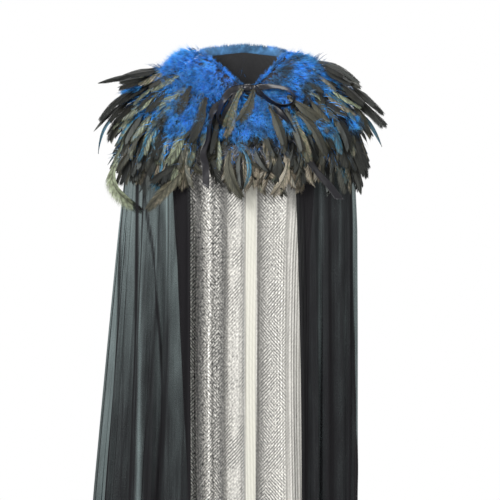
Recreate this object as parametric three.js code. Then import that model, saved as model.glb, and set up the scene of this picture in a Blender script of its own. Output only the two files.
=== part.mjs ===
// A feather cape as it is worn: a felt yoke over the shoulders, five rows of sewn-on feather trim, a fluffy
// neck band, a long sheer skirt in three gathered panels that is open at the front, a pale inner cloth
// hanging behind that opening, and a satin ribbon tied in a bow at the throat.
// Units are millimetres. +Z is up and the front of the cape faces -Y. Left and right are as seen from the
// front, so right is +X. The origin is the middle of the neck opening, level with the sides of the neck.
import * as THREE from 'three';

// Driving dimensions
const NECK = { halfWidth: 87, front: 62, back: 62, frontDrop: 80, backRise: 8, lowestAt: 8, rounding: 0.004 };
const YOKE = { edgeZ: -190, thick: 2, rows: 5, columns: 48, shoulders: [13, 35] };
const RING = { left: 248, right: 240, front: 130, back: 150, squareness: 0.9 };
const HEM = { z: -1250, left: 335, right: 238, front: 165, back: 215 };
const SIDE_SEAM = 97; // direction of the side seams, in degrees from the front
const SIDE_SEAM_GAP = 0.06; // half the gap at the side seams, in degrees
const SEAM = 0.3; // gap between sewn pieces
const SHOULDER_GAP = 0.1; // half the gap at the shoulder seams, in degrees
const CLOTH = { sheer: 1.2, inner: 1.2, band: 1.2 };

// Directions of the yoke's two front edges in degrees, at the neck and at the yoke's lower edge
const OPENING = { neckRight: 9, neckLeft: 4, edgeRight: -11.3, edgeLeft: -19 };

// How much of the neck-to-edge profile falls in a straight line, and how far stiff feathers stand off
const STRAIGHTNESS = { front: 0.8, side: 0.35, back: 0.5 };
const HANG = 200; // how far the draped form hangs for each share beyond the yoke's edge
const SLOPE_STEP = 0.01; // the small turn and share over which its slopes are measured
const FEATHER_LIFT = { root: 0.8, slope: 0.165, front: 0.0003, side: 0.0022 };

// Feather trim, from the neck down: where it is sewn, as a share of the yoke, and its feathers
const FEATHER_ROWS = [
  { name: 'feather_row_1', at: 0.13, count: 34, length: 104, width: 15 },
  { name: 'feather_row_2', at: 0.31, count: 38, length: 112, width: 18 },
  { name: 'feather_row_3', at: 0.49, count: 42, length: 118, width: 20 },
  { name: 'feather_row_4', at: 0.66, count: 44, length: 122, width: 21 },
  { name: 'feather_row_5', at: 0.915, count: 46, length: 128, width: 21 },
];
const STRIP = { width: 7, low: 0.9, high: 2.1, margin: 1.6 };
const FEATHER_ROOT = 4.5; // width of each feather where it leaves its strip
const FEATHER_STATIONS = [
  { share: 0.24, width: 0.76, ridge: 1.4 },
  { share: 0.55, width: 1.0, ridge: 1.4 },
  { share: 0.85, width: 0.66, ridge: 1.1 },
];
const UNEVEN = { length: 0.09, sweep: 1.1 };

// Neck band: a rounded roll of fluff just outside the neck edge
const ROLL = { out: 7, up: 8.5, middleOut: 0.8, middleUp: 8.8, sides: 6 };

// Sheer skirt: how deep its folds are and how far it stands out, from the yoke to the hem
const SKIRT_LEVELS = [
  { z: -190.3, depth: 1.0, out: -0.2 },
  { z: -250, depth: 2.8, out: 0 },
  { z: -380, depth: 6.5, out: 0 },
  { z: -620, depth: 9.5, out: 0 },
  { z: -920, depth: 12.0, out: 0 },
  { z: -1250, depth: 14.5, out: 0 },
];
const SKIRT_PANELS = {
  rightFront: { name: 'skirt_right_front', folds: 7, seed: 0.4 },
  back: { name: 'skirt_back', folds: 17, seed: 1.3 },
  leftFront: { name: 'skirt_left_front', folds: 8, seed: 2.6 },
};
const FRONT_EDGE = { left: -117, right: 125 }; // where the two sheer fronts end, measured across
const COLUMNS_PER_FOLD = 4;
const UNEVEN_FOLDS = { drift: 0.22, driftRate: 2.1, depth: 0.22, depthRate: 1.35 };

// Pale inner cloth: its two panels, and its troughs (negative) and ridges, each at a place across
const INNER = { left: -152, meet: 1, right: 156, setBack: 32, startBelow: 12, backAfter: 260 };
const INNER_FOLD_GROWTH = { atTop: 0.55, fullAfter: 900 };
const INNER_LEVELS = [-190.3, -230, -310, -500, -820, -1235];
const INNER_FOLDS = [
  { at: -141, wide: 13, deep: 5 },
  { at: -117, wide: 10, deep: -6 },
  { at: -98, wide: 11, deep: 8 },
  { at: -84, wide: 6, deep: -6 },
  { at: -73, wide: 7, deep: 6 },
  { at: -61, wide: 6, deep: -5 },
  { at: -47, wide: 11, deep: 7 },
  { at: -31, wide: 7, deep: -7 },
  { at: -10, wide: 15, deep: 5 },
  { at: 39, wide: 7, deep: -8 },
  { at: 66, wide: 20, deep: 6 },
  { at: 98, wide: 6, deep: -6 },
  { at: 111, wide: 9, deep: 5 },
  { at: 127, wide: 8, deep: -5 },
  { at: 144, wide: 11, deep: 5 },
];
const EDGE_BAND = { from: 5, to: 28 };

// Satin ribbon: the knot, and the route of each piece with how far its band is turned edge-on, in degrees.
const RIBBON = { width: 15, thick: 1, steps: 16 };
const KNOT = { x: 9.7, y: -79.8, z: -69, halfWide: 9, halfDeep: 7, halfTall: 9.5, sides: 10 };
const RIBBON_ROUTES = {
  ribbon_loop_left: [
    { x: 0.3, y: -84, z: -69, turn: 0 },
    { x: -6, y: -84, z: -69, turn: 0 },
    { x: -25, y: -98, z: -74, turn: 0 },
    { x: -39, y: -110, z: -91, turn: 25 },
    { x: -48, y: -130, z: -112, turn: 55 },
    { x: -52, y: -144, z: -131, turn: 70 },
    { x: -48, y: -144, z: -139, turn: 70 },
    { x: -36, y: -128, z: -118, turn: 40 },
    { x: -20, y: -106, z: -94, turn: 10 },
    { x: -6, y: -80.5, z: -69, turn: 0 },
    { x: 0.3, y: -80.5, z: -69, turn: 0 },
  ],
  ribbon_tail_left: [
    { x: 0.3, y: -77, z: -69, turn: 0 },
    { x: -5, y: -77, z: -69, turn: 0 },
    { x: -34, y: -99, z: -92, turn: 0 },
    { x: -58, y: -117, z: -110, turn: 15 },
    { x: -69, y: -137, z: -138, turn: 50 },
    { x: -73, y: -156, z: -175, turn: 55 },
    { x: -84, y: -159, z: -206, turn: 30 },
    { x: -78, y: -158, z: -232, turn: 0 },
    { x: -80, y: -163, z: -286, turn: 20 },
  ],
  ribbon_loop_right: [
    { x: 19.1, y: -84, z: -69, turn: 0 },
    { x: 24, y: -84, z: -69, turn: 0 },
    { x: 40, y: -101, z: -82, turn: 40 },
    { x: 60, y: -115, z: -96, turn: 62 },
    { x: 85, y: -119, z: -105, turn: 66 },
    { x: 104, y: -118, z: -100, turn: 70 },
    { x: 109, y: -113, z: -87, turn: 70 },
    { x: 100, y: -106, z: -74, turn: 66 },
    { x: 82, y: -101, z: -67, turn: 62 },
    { x: 60, y: -95, z: -65, turn: 55 },
    { x: 38, y: -86, z: -67, turn: 25 },
    { x: 24, y: -80.5, z: -69, turn: 0 },
    { x: 19.1, y: -80.5, z: -69, turn: 0 },
  ],
  ribbon_tail_right: [
    { x: 19.1, y: -77, z: -69, turn: 0 },
    { x: 24, y: -77, z: -69, turn: 0 },
    { x: 50, y: -96, z: -97, turn: 0 },
    { x: 80, y: -117, z: -121, turn: 15 },
    { x: 98, y: -135, z: -144, turn: 50 },
    { x: 118, y: -146, z: -184, turn: 40 },
    { x: 136, y: -147, z: -212, turn: 25 },
    { x: 156, y: -142, z: -242, turn: 35 },
    { x: 186, y: -134, z: -277, turn: 15 },
    { x: 211, y: -131, z: -318, turn: 10 },
  ],
};

const UP = new THREE.Vector3(0, 0, 1);
const FULL_TURN = Math.PI * 2;
const radians = (degrees) => (degrees * Math.PI) / 180;
const clamp = (t) => Math.min(1, Math.max(0, t));
const mix = (a, b, t) => a + (b - a) * t;
const ease = (t) => clamp(t) ** 2 * (3 - 2 * clamp(t));
const signedPower = (value, power) => Math.sign(value) * Math.abs(value) ** power;

// The neck edge of the yoke in one direction: a low V at the front and nearly level round the back.
function neckPoint(direction) {
  const sine = Math.sin(direction);
  const cosine = Math.cos(direction);
  const turned = direction - radians(NECK.lowestAt) * Math.cos(direction / 2) ** 2;
  const fromSide = 1 - Math.sqrt(Math.sin(turned) ** 2 + NECK.rounding);
  const height = Math.cos(turned) > 0 ? -NECK.frontDrop * fromSide : NECK.backRise * fromSide;
  const reach = cosine > 0 ? NECK.front : NECK.back;
  return new THREE.Vector3(NECK.halfWidth * sine, -reach * cosine, height);
}

// How far down the skirt a height is: 0 at the yoke's edge, 1 at the hem.
const shareOfSkirt = (z) => clamp((YOKE.edgeZ - z) / (YOKE.edgeZ - HEM.z));
const ringSide = (sign, z) => {
  const side = sign < 0 ? 'left' : 'right';
  return mix(RING[side], HEM[side], shareOfSkirt(z));
};

// The ring that the cloth hangs on at one height: the yoke's edge, widening to the hem.
function ringPoint(direction, z) {
  const sine = signedPower(Math.sin(direction), RING.squareness);
  const cosine = signedPower(Math.cos(direction), RING.squareness);
  const end = cosine > 0 ? 'front' : 'back';
  const reach = mix(RING[end], HEM[end], shareOfSkirt(z));
  return new THREE.Vector3(ringSide(sine, z) * sine, -reach * cosine, z);
}

// The direction on that ring that lies at a distance across the front.
function directionAt(across, z) {
  return Math.sign(across) * Math.asin(Math.abs(across / ringSide(across, z)) ** (1 / RING.squareness));
}

// A point of the ring moved out by a distance, level.
function hungPoint(direction, z, out) {
  const along = ringPoint(direction + SLOPE_STEP, z).sub(ringPoint(direction - SLOPE_STEP, z));
  const outward = new THREE.Vector3(along.y, -along.x, 0).normalize();
  return ringPoint(direction, z).addScaledVector(outward, out);
}

// A point on the draped form: share 0 is the neck edge, 1 the yoke's edge, and beyond 1 it hangs.
function drapePoint(direction, share) {
  if (share > 1) return ringPoint(direction, YOKE.edgeZ - (share - 1) * HANG);
  const from = neckPoint(direction);
  const to = ringPoint(direction, YOKE.edgeZ);
  const cosine = Math.cos(direction);
  const turned = cosine > 0 ? STRAIGHTNESS.front : STRAIGHTNESS.back;
  const straight = mix(STRAIGHTNESS.side, turned, cosine ** 2);
  const angle = (share * Math.PI) / 2;
  const out = Math.sin(angle);
  const fall = mix(1 - Math.cos(angle), out, straight);
  return new THREE.Vector3(mix(from.x, to.x, out), mix(from.y, to.y, out), mix(from.z, to.z, fall));
}

// The draped form's outward normal and the direction along its rings.
function drapeFrame(direction, share) {
  const before = drapePoint(direction - SLOPE_STEP, share);
  const along = drapePoint(direction + SLOPE_STEP, share).sub(before).normalize();
  const above = drapePoint(direction, Math.max(0, share - SLOPE_STEP));
  const down = drapePoint(direction, share + SLOPE_STEP).sub(above).normalize();
  return { along, normal: down.clone().cross(along).normalize() };
}

function liftedPoint(direction, share, lift) {
  return drapePoint(direction, share).addScaledVector(drapeFrame(direction, share).normal, lift);
}

// The length of the draped form between two shares, in one direction.
function drapeLength(direction, from, to) {
  const steps = 12;
  let length = 0;
  for (let i = 0; i < steps; i++) {
    const a = drapePoint(direction, mix(from, to, i / steps));
    length += a.distanceTo(drapePoint(direction, mix(from, to, (i + 1) / steps)));
  }
  return length;
}

// The share of the draped form that lies a distance below a share, in one direction.
function shareBelow(direction, share, distance) {
  const step = 0.004;
  let at = share;
  let left = distance;
  let from = drapePoint(direction, at);
  while (left > 0) {
    const ahead = drapePoint(direction, at + step);
    const gone = ahead.distanceTo(from);
    at += step * Math.min(1, left / gone);
    left -= gone;
    from = ahead;
  }
  return at;
}

// The direction of the yoke's place u, from 0 at its right front edge, round the back, to 1 at its left.
function yokeDirection(u, share) {
  const slant = clamp(share);
  const right = mix(OPENING.neckRight, OPENING.edgeRight, slant);
  const left = mix(OPENING.neckLeft, OPENING.edgeLeft, slant) + 360;
  return radians(mix(right, left, u));
}

// A closed mesh from corner points and triangles, turned so that its faces point out.
function closedGeometry(points, triangles) {
  let volume = 0;
  for (const [a, b, c] of triangles) {
    volume += points[a].dot(points[b].clone().cross(points[c]));
  }
  const index = volume < 0 ? triangles.map(([a, b, c]) => [a, c, b]) : triangles;
  return new THREE.BufferGeometry().setFromPoints(points).setIndex(index.flat());
}

// A wall from columns of points on its two faces, closed along its four edges.
function wallGeometry(columns) {
  const rows = columns[0].outer.length;
  const points = columns.flatMap(({ outer, inner }) => [...outer, ...inner]);
  const outerAt = (column, row) => column * rows * 2 + row;
  const innerAt = (column, row) => outerAt(column, row) + rows;
  const triangles = [];
  const quad = (a, b, c, d) => triangles.push([a, b, c], [a, c, d]);
  const last = columns.length - 1;
  for (let i = 0; i < last; i++) {
    for (let j = 0; j < rows - 1; j++) {
      quad(outerAt(i, j), outerAt(i, j + 1), outerAt(i + 1, j + 1), outerAt(i + 1, j));
      quad(innerAt(i, j), innerAt(i + 1, j), innerAt(i + 1, j + 1), innerAt(i, j + 1));
    }
    quad(outerAt(i, 0), outerAt(i + 1, 0), innerAt(i + 1, 0), innerAt(i, 0));
    quad(outerAt(i, rows - 1), innerAt(i, rows - 1), innerAt(i + 1, rows - 1), outerAt(i + 1, rows - 1));
  }
  for (let j = 0; j < rows - 1; j++) {
    quad(outerAt(0, j), innerAt(0, j), innerAt(0, j + 1), outerAt(0, j + 1));
    quad(outerAt(last, j), outerAt(last, j + 1), innerAt(last, j + 1), innerAt(last, j));
  }
  return closedGeometry(points, triangles);
}

// A solid through rings of points, with a fan at each end.
function ringGeometry(rings) {
  const size = rings[0].length;
  const triangles = [];
  for (let i = 0; i < rings.length - 1; i++) {
    for (let j = 0; j < size; j++) {
      const a = i * size + j;
      const b = i * size + ((j + 1) % size);
      triangles.push([a, b, b + size], [a, b + size, a + size]);
    }
  }
  const end = (rings.length - 1) * size;
  for (let j = 1; j < size - 1; j++) triangles.push([0, j + 1, j], [end, end + j, end + j + 1]);
  return closedGeometry(rings.flat(), triangles);
}

const cape = new THREE.Group();

function addMesh(name, geometry, material) {
  const mesh = new THREE.Mesh(geometry, material);
  mesh.name = name;
  cape.add(mesh);
}

const cloth = (color, roughness = 0.9) => new THREE.MeshStandardMaterial({ color, roughness, metalness: 0 });
const blackFelt = cloth(0x2b2a2c);
const blueFluff = cloth(0x1f63d8, 1);
const darkFeather = cloth(0x2f2b22, 0.55);
const sheerBlack = cloth(0x23252a, 0.8);
const paleCloth = cloth(0xc9c5ba);
const creamBand = cloth(0xefecdd);
const blackSatin = cloth(0x2a262b, 0.35);

// One felt piece of the yoke, between two of its columns. It stops just short of its shoulder seams.
function addYokePiece(name, first, last) {
  const columns = [];
  for (let i = first; i <= last; i++) {
    const outer = [];
    const inner = [];
    for (let j = 0; j <= YOKE.rows; j++) {
      const share = j / YOKE.rows;
      const seam = YOKE.shoulders.includes(i) ? Math.sign((first + last) / 2 - i) : 0;
      const direction = yokeDirection(i / YOKE.columns, share) + seam * radians(SHOULDER_GAP);
      outer.push(liftedPoint(direction, share, 0));
      inner.push(liftedPoint(direction, share, -YOKE.thick));
    }
    outer[YOKE.rows].z = YOKE.edgeZ;
    inner[YOKE.rows].z = YOKE.edgeZ;
    columns.push({ outer, inner });
  }
  addMesh(name, wallGeometry(columns), blackFelt);
}

function addYoke() {
  const [right, left] = YOKE.shoulders;
  addYokePiece('yoke_right_front', 0, right);
  addYokePiece('yoke_back', right, left);
  addYokePiece('yoke_left_front', left, YOKE.columns);
}

function addNeckBand() {
  const rings = [];
  for (let i = 0; i <= YOKE.columns; i++) {
    const centre = drapePoint(yokeDirection(i / YOKE.columns, 0), 0);
    const outward = new THREE.Vector3(centre.x, centre.y, 0).normalize();
    const ring = [];
    for (let k = 0; k < ROLL.sides; k++) {
      const angle = ((k + 0.5) / ROLL.sides) * FULL_TURN;
      const out = ROLL.middleOut + ROLL.out * Math.cos(angle);
      const up = ROLL.middleUp + ROLL.up * Math.sin(angle);
      ring.push(centre.clone().addScaledVector(outward, out).addScaledVector(UP, up));
    }
    rings.push(ring);
  }
  addMesh('neck_band', ringGeometry(rings), blueFluff);
}

// How far a feather stands off the draped form, at a distance from its root.
function featherLift(direction, distance) {
  const side = Math.abs(Math.sin(direction)) ** 4;
  const curl = mix(FEATHER_LIFT.front, FEATHER_LIFT.side, side);
  return FEATHER_LIFT.root + FEATHER_LIFT.slope * distance + curl * distance ** 2;
}

// The three corners of a feather's section at a share of its length: left, shaft and right.
function featherSection(row, direction, length, sweep, { share, width, ridge }) {
  const turned = direction + sweep * share;
  const place = shareBelow(turned, row.at, share * length);
  const { along, normal } = drapeFrame(turned, place);
  const middle = liftedPoint(turned, place, featherLift(turned, share * length));
  const half = (row.width * width) / 2;
  return [
    middle.clone().addScaledVector(along, -half),
    middle.clone().addScaledVector(normal, ridge),
    middle.clone().addScaledVector(along, half),
  ];
}

// Places round a row at even lengths, since even turns would crowd its feathers at the front and back.
function evenPlaces(count, share) {
  const steps = 240;
  const lengths = [0];
  for (let i = 0; i < steps; i++) {
    const a = drapePoint(yokeDirection(i / steps, share), share);
    const b = drapePoint(yokeDirection((i + 1) / steps, share), share);
    lengths.push(lengths[i] + a.distanceTo(b));
  }
  return Array.from({ length: count }, (_, k) => {
    const target = mix(STRIP.margin, 100 - STRIP.margin, k / (count - 1)) * (lengths[steps] / 100);
    const i = lengths.findIndex((length) => length > target) - 1;
    return (i + (target - lengths[i]) / (lengths[i + 1] - lengths[i])) / steps;
  });
}

// One row of feather trim: a narrow strip sewn round the yoke, and feathers that grow from its lower edge.
// Each column of the strip has four corners, top and bottom on its outer and inner face, and each feather
// stands between two columns.
function addFeatherRow(row, index) {
  const points = [];
  const triangles = [];
  const quad = (a, b, c, d) => triangles.push([a, b, c], [a, c, d]);
  const addColumn = (direction) => {
    const half = STRIP.width / 2 / drapeLength(direction, 0, 1);
    for (const lift of [STRIP.high, STRIP.low]) {
      points.push(liftedPoint(direction, row.at - half, lift), liftedPoint(direction, row.at + half, lift));
    }
    return points.length - 4;
  };
  const corners = (column) => [column, column + 1, column + 2, column + 3];

  const addStretch = (from, to, open) => {
    const [topOut, lowOut, topIn, lowIn] = corners(from);
    const [nextTopOut, nextLowOut, nextTopIn, nextLowIn] = corners(to);
    quad(topOut, nextTopOut, nextLowOut, lowOut);
    quad(nextTopIn, topIn, lowIn, nextLowIn);
    quad(topIn, nextTopIn, nextTopOut, topOut);
    if (!open) quad(lowOut, nextLowOut, nextLowIn, lowIn);
  };

  const addFeather = (from, to, direction, length, sweep) => {
    const [, lowOut, , lowIn] = corners(from);
    const [, nextLowOut, , nextLowIn] = corners(to);
    let ring = points.length;
    for (const station of FEATHER_STATIONS) {
      points.push(...featherSection(row, direction, length, sweep, station));
    }
    const [left, shaft, right] = [ring, ring + 1, ring + 2];
    triangles.push([lowIn, lowOut, left], [lowOut, shaft, left], [lowOut, nextLowOut, shaft]);
    triangles.push([nextLowOut, right, shaft], [nextLowOut, nextLowIn, right]);
    triangles.push([nextLowIn, left, right], [nextLowIn, lowIn, left]);
    for (let i = 1; i < FEATHER_STATIONS.length; i++) {
      for (let j = 0; j < 3; j++) {
        const a = ring + j;
        const b = ring + ((j + 1) % 3);
        triangles.push([a, b, b + 3], [a, b + 3, a + 3]);
      }
      ring += 3;
    }
    const tipDirection = direction + sweep;
    const place = shareBelow(tipDirection, row.at, length);
    const tip = points.push(liftedPoint(tipDirection, place, featherLift(tipDirection, length))) - 1;
    for (let j = 0; j < 3; j++) triangles.push([ring + j, ring + ((j + 1) % 3), tip]);
  };

  let last = addColumn(yokeDirection(0, row.at));
  const [topOut, lowOut, topIn, lowIn] = corners(last);
  quad(topOut, lowOut, lowIn, topIn);
  evenPlaces(row.count, row.at).forEach((u, i) => {
    const direction = yokeDirection(u, row.at);
    const radius = Math.hypot(drapePoint(direction, row.at).x, drapePoint(direction, row.at).y);
    const half = FEATHER_ROOT / 2 / radius;
    const from = addColumn(direction - half);
    const to = addColumn(direction + half);
    addStretch(last, from, false);
    addStretch(from, to, true);
    const length = row.length * (1 + UNEVEN.length * Math.sin(i * 2.4 + index * 1.7));
    const sweep = radians(UNEVEN.sweep * Math.sin(i * 1.3 + index));
    addFeather(from, to, direction, length, sweep);
    last = to;
  });
  const end = addColumn(yokeDirection(1, row.at));
  addStretch(last, end, false);
  const [endTopOut, endLowOut, endTopIn, endLowIn] = corners(end);
  quad(endLowOut, endTopOut, endTopIn, endLowIn);
  addMesh(row.name, closedGeometry(points, triangles), darkFeather);
}

// One gathered panel of the sheer skirt. Its columns follow the folds.
function addSkirtPanel(panel, startOf, endOf) {
  const count = panel.folds * COLUMNS_PER_FOLD;
  const columns = [];
  for (let i = 0; i <= count; i++) {
    const fold = (i / COLUMNS_PER_FOLD) * FULL_TURN;
    const even = i / count;
    const wander = Math.sin(even * panel.folds * UNEVEN_FOLDS.driftRate + panel.seed);
    const drift = (UNEVEN_FOLDS.drift / panel.folds) * wander * Math.sin(Math.PI * even);
    const uneven = Math.sin(even * panel.folds * UNEVEN_FOLDS.depthRate + panel.seed * 2);
    const depthShare = 1 - UNEVEN_FOLDS.depth * (1 - uneven);
    const outer = [];
    const inner = [];
    for (const { z, depth, out } of SKIRT_LEVELS) {
      const direction = mix(startOf(z), endOf(z), even + drift);
      const stand = out + depth * depthShare * Math.cos(fold);
      outer.push(hungPoint(direction, z, stand + CLOTH.sheer / 2));
      inner.push(hungPoint(direction, z, stand - CLOTH.sheer / 2));
    }
    columns.push({ outer, inner });
  }
  addMesh(panel.name, wallGeometry(columns), sheerBlack);
}

function addSkirt() {
  const gap = radians(SIDE_SEAM_GAP);
  const seam = radians(SIDE_SEAM);
  const rightEdge = (z) => directionAt(FRONT_EDGE.right, z);
  const leftEdge = (z) => directionAt(FRONT_EDGE.left, z) + FULL_TURN;
  const { rightFront, back, leftFront } = SKIRT_PANELS;
  addSkirtPanel(rightFront, rightEdge, () => seam - gap);
  addSkirtPanel(back, () => seam + gap, () => FULL_TURN - seam - gap);
  addSkirtPanel(leftFront, () => FULL_TURN - seam + gap, leftEdge);
}

// How far the pale inner cloth stands from the ring at a place: set back below the yoke, with its folds.
function innerStand(across, z) {
  const top = -YOKE.thick - 2 * SEAM - CLOTH.inner / 2;
  const below = ease((YOKE.edgeZ - z - INNER.startBelow) / INNER.backAfter);
  let fold = 0;
  for (const { at, wide, deep } of INNER_FOLDS) {
    fold += deep * Math.exp(-(((across - at) / wide) ** 2));
  }
  const { atTop, fullAfter } = INNER_FOLD_GROWTH;
  const grown = mix(atTop, 1, clamp((YOKE.edgeZ - z) / fullAfter));
  return mix(top, fold * grown - INNER.setBack, below);
}

// A wall that follows the inner cloth at some places across it, moved out by a distance.
function innerWall(places, thick, moved) {
  const columns = places.map((across) => {
    const face = (out) =>
      INNER_LEVELS.map((z) => hungPoint(directionAt(across, z), z, innerStand(across, z) + moved + out));
    return { outer: face(thick / 2), inner: face(-thick / 2) };
  });
  return wallGeometry(columns);
}

// Places across the inner cloth: the middle of each fold and points between them.
function innerPlaces(from, to) {
  const middles = INNER_FOLDS.map((fold) => fold.at).filter((at) => at > from + 3 && at < to - 3);
  const places = [from, ...middles, to];
  const between = places.slice(1).flatMap((place, i) => {
    const gap = place - places[i];
    const parts = gap > 16 ? 3 : 2;
    return Array.from({ length: parts - 1 }, (_, j) => places[i] + (gap * (j + 1)) / parts);
  });
  return [...places, ...between].sort((a, b) => a - b);
}

// The two inner fronts, and the plain band that is made from the right one's points and moved out.
function addInnerCloth() {
  const left = innerPlaces(INNER.left, INNER.meet - SEAM);
  const besideBand = (x) => x < EDGE_BAND.from || x > EDGE_BAND.to;
  const beside = innerPlaces(INNER.meet + SEAM, INNER.right).filter(besideBand);
  const underBand = [0, 0.25, 0.5, 0.75, 1].map((t) => mix(EDGE_BAND.from, EDGE_BAND.to, t));
  const right = [...beside, ...underBand].sort((a, b) => a - b);
  addMesh('inner_left', innerWall(left, CLOTH.inner, 0), paleCloth);
  addMesh('inner_right', innerWall(right, CLOTH.inner, 0), paleCloth);
  const moved = (CLOTH.inner + CLOTH.band) / 2 + SEAM;
  addMesh('inner_edge_band', innerWall(underBand, CLOTH.band, moved), creamBand);
}

// A stretch of ribbon along its route: a thin band with its flat side out, turned edge-on by some degrees.
function addRibbon(name, route) {
  const curve = new THREE.CatmullRomCurve3(route.map(({ x, y, z }) => new THREE.Vector3(x, y, z)));
  const columns = [];
  for (let i = 0; i <= RIBBON.steps; i++) {
    const t = i / RIBBON.steps;
    const at = t * (route.length - 1);
    const before = Math.min(Math.floor(at), route.length - 2);
    const turn = radians(mix(route[before].turn, route[before + 1].turn, at - before));
    const tangent = curve.getTangent(t);
    const outward = new THREE.Vector3(0, -1, 0).addScaledVector(tangent, tangent.y).normalize();
    const acrossBand = outward.clone().cross(tangent).normalize();
    const wide = acrossBand.multiplyScalar(Math.cos(turn)).addScaledVector(outward, Math.sin(turn));
    const thick = tangent.clone().cross(wide).normalize();
    const face = (side) =>
      [-1, 1].map((edge) =>
        curve
          .getPoint(t)
          .addScaledVector(wide, (edge * RIBBON.width) / 2)
          .addScaledVector(thick, (side * RIBBON.thick) / 2),
      );
    columns.push({ outer: face(1), inner: face(-1) });
  }
  addMesh(name, wallGeometry(columns), blackSatin);
}

function addKnot() {
  const rings = [-1, -0.5, 0.5, 1].map((side) => {
    const size = Math.abs(side) === 1 ? 0.8 : 1;
    return Array.from({ length: KNOT.sides }, (_, k) => {
      const angle = (k / KNOT.sides) * FULL_TURN;
      return new THREE.Vector3(
        KNOT.x + side * KNOT.halfWide,
        KNOT.y + size * KNOT.halfDeep * Math.cos(angle),
        KNOT.z + size * KNOT.halfTall * Math.sin(angle),
      );
    });
  });
  addMesh('ribbon_knot', ringGeometry(rings), blackSatin);
}

addYoke();
addNeckBand();
FEATHER_ROWS.forEach(addFeatherRow);
addSkirt();
addInnerCloth();
addKnot();
Object.entries(RIBBON_ROUTES).forEach(([name, route]) => addRibbon(name, route));

export default cape;
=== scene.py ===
"""A feather cape as it is worn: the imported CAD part, dressed with feathers, down, tulle, net and satin.

Lengths are metres. Directions round the cape are radians from the front, growing towards the right as seen
from the front. A share tells how far down the draped yoke a place is: 0 at the neck, 1 at its lower edge.
"""

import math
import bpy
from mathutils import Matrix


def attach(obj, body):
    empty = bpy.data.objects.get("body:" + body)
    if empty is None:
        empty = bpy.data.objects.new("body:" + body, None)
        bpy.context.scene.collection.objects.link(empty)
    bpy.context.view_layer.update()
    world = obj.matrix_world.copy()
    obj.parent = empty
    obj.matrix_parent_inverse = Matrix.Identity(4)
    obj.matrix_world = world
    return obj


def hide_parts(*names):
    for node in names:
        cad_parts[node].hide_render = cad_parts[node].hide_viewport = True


bl_info = {
    "name": "Feather Cape",
    "version": (1, 0, 0),
    "blender": (4, 5, 0),
    "location": "3D View > Sidebar > Cape",
    "description": "Dresses the frame of a feather cape with feathers, down, tulle, net and satin",
    "category": "Object",
}

import bpy
import numpy as np
from mathutils import Vector

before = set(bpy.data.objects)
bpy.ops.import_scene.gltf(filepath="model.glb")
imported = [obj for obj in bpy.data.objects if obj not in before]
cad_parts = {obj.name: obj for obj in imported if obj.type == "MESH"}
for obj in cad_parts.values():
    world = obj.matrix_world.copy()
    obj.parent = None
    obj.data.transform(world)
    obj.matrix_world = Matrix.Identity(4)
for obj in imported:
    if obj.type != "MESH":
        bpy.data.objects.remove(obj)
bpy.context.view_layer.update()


def table(columns, rows):
    """Rows of values as dictionaries, whose keys are the columns' names."""
    return [dict(zip(columns.split(), row)) for row in rows]


# The draped form, with the same sizes as the CAD part
NECK = {"half_width": 0.087, "front": 0.062, "back": 0.062, "front_drop": 0.080, "back_rise": 0.008}
NECK_LOWEST = math.radians(8)
NECK_ROUNDING = 0.004
YOKE_EDGE = -0.190
RING = {"left": 0.248, "right": 0.240, "front": 0.130, "back": 0.150}
SQUARENESS = 0.9
HEM = {"left": 0.335, "right": 0.238, "front": 0.165, "back": 0.215}
HEM_Z = -1.250
SIDE_SEAM = math.radians(97)
SEAM_GAP = math.radians(0.06)
OPENING = {"neck_right": 9, "neck_left": 4, "edge_right": -11.3, "edge_left": -19}
STRAIGHTNESS = {"front": 0.8, "side": 0.35, "back": 0.5}
HANG = 0.200
SLOPE_STEP = 0.01
TURN = 2 * math.pi
# The stretch of the form, in degrees round it, that the photo doesn't show
BACK = {"from": 100, "across": 160}

# Feather trim: how far down the yoke each row is sewn on, how many feathers it has, their length and width,
# how short the shortest are, how far they flare and lift at the sides, and the share with blue down at their
# root
FEATHER_ROWS = table("at count length width shortest flare lifted blue", [
    (0.13, 50, 0.098, 0.020, 0.80, 1.00, 0.005, 1.00),
    (0.31, 78, 0.106, 0.022, 0.80, 1.00, 0.005, 0.75),
    (0.49, 100, 0.114, 0.023, 0.80, 0.95, 0.003, 0.50),
    (0.66, 116, 0.116, 0.023, 0.75, 0.75, 0.000, 0.40),
    (0.915, 128, 0.104, 0.023, 0.62, 0.50, 0.000, 0.30),
])
FEATHER_LIFT = {"root": 0.0008, "slope": 0.165, "front": 0.3, "side": 2.2}
# Tones are places in VANE_TONES. Of the rows' feathers each tone has a share, and some are set apart: narrow
# hooked ones, pale ones low at the front, and olive ones at the left
ROW_TONES = {0.04: 0.20, 0.14: 0.22, 0.25: 0.16, 0.40: 0.13, 0.52: 0.10, 0.66: 0.10, 0.82: 0.05, 0.91: 0.04}
NARROW = {"share": 0.11, "width": 0.5, "length": 1.04, "curl": 0.006, "tones": [0.83, 0.08, 0.40]}
PALE = {"share": 0.40, "tone": 0.60, "first_row": 3}
OLIVE = {"share": 0.36, "tones": (0.87, 0.95), "last_row": 3}
POINTEDNESS = {0.42: 0.35, 0.60: 0.40, 0.85: 0.25}
VANE_TONES = [
    (0.00, (0.004, 0.004, 0.0045)),
    (0.22, (0.015, 0.014, 0.011)),
    (0.42, (0.030, 0.028, 0.019)),
    (0.52, (0.050, 0.046, 0.031)),
    (0.60, (0.140, 0.116, 0.086)),
    (0.67, (0.058, 0.058, 0.032)),
    (0.83, (0.008, 0.070, 0.125)),
    (0.90, (0.064, 0.068, 0.044)),
    # The palest green is partly the feathers' sheen, painted into their colour
    (1.00, (0.160, 0.182, 0.120)),
]

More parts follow.
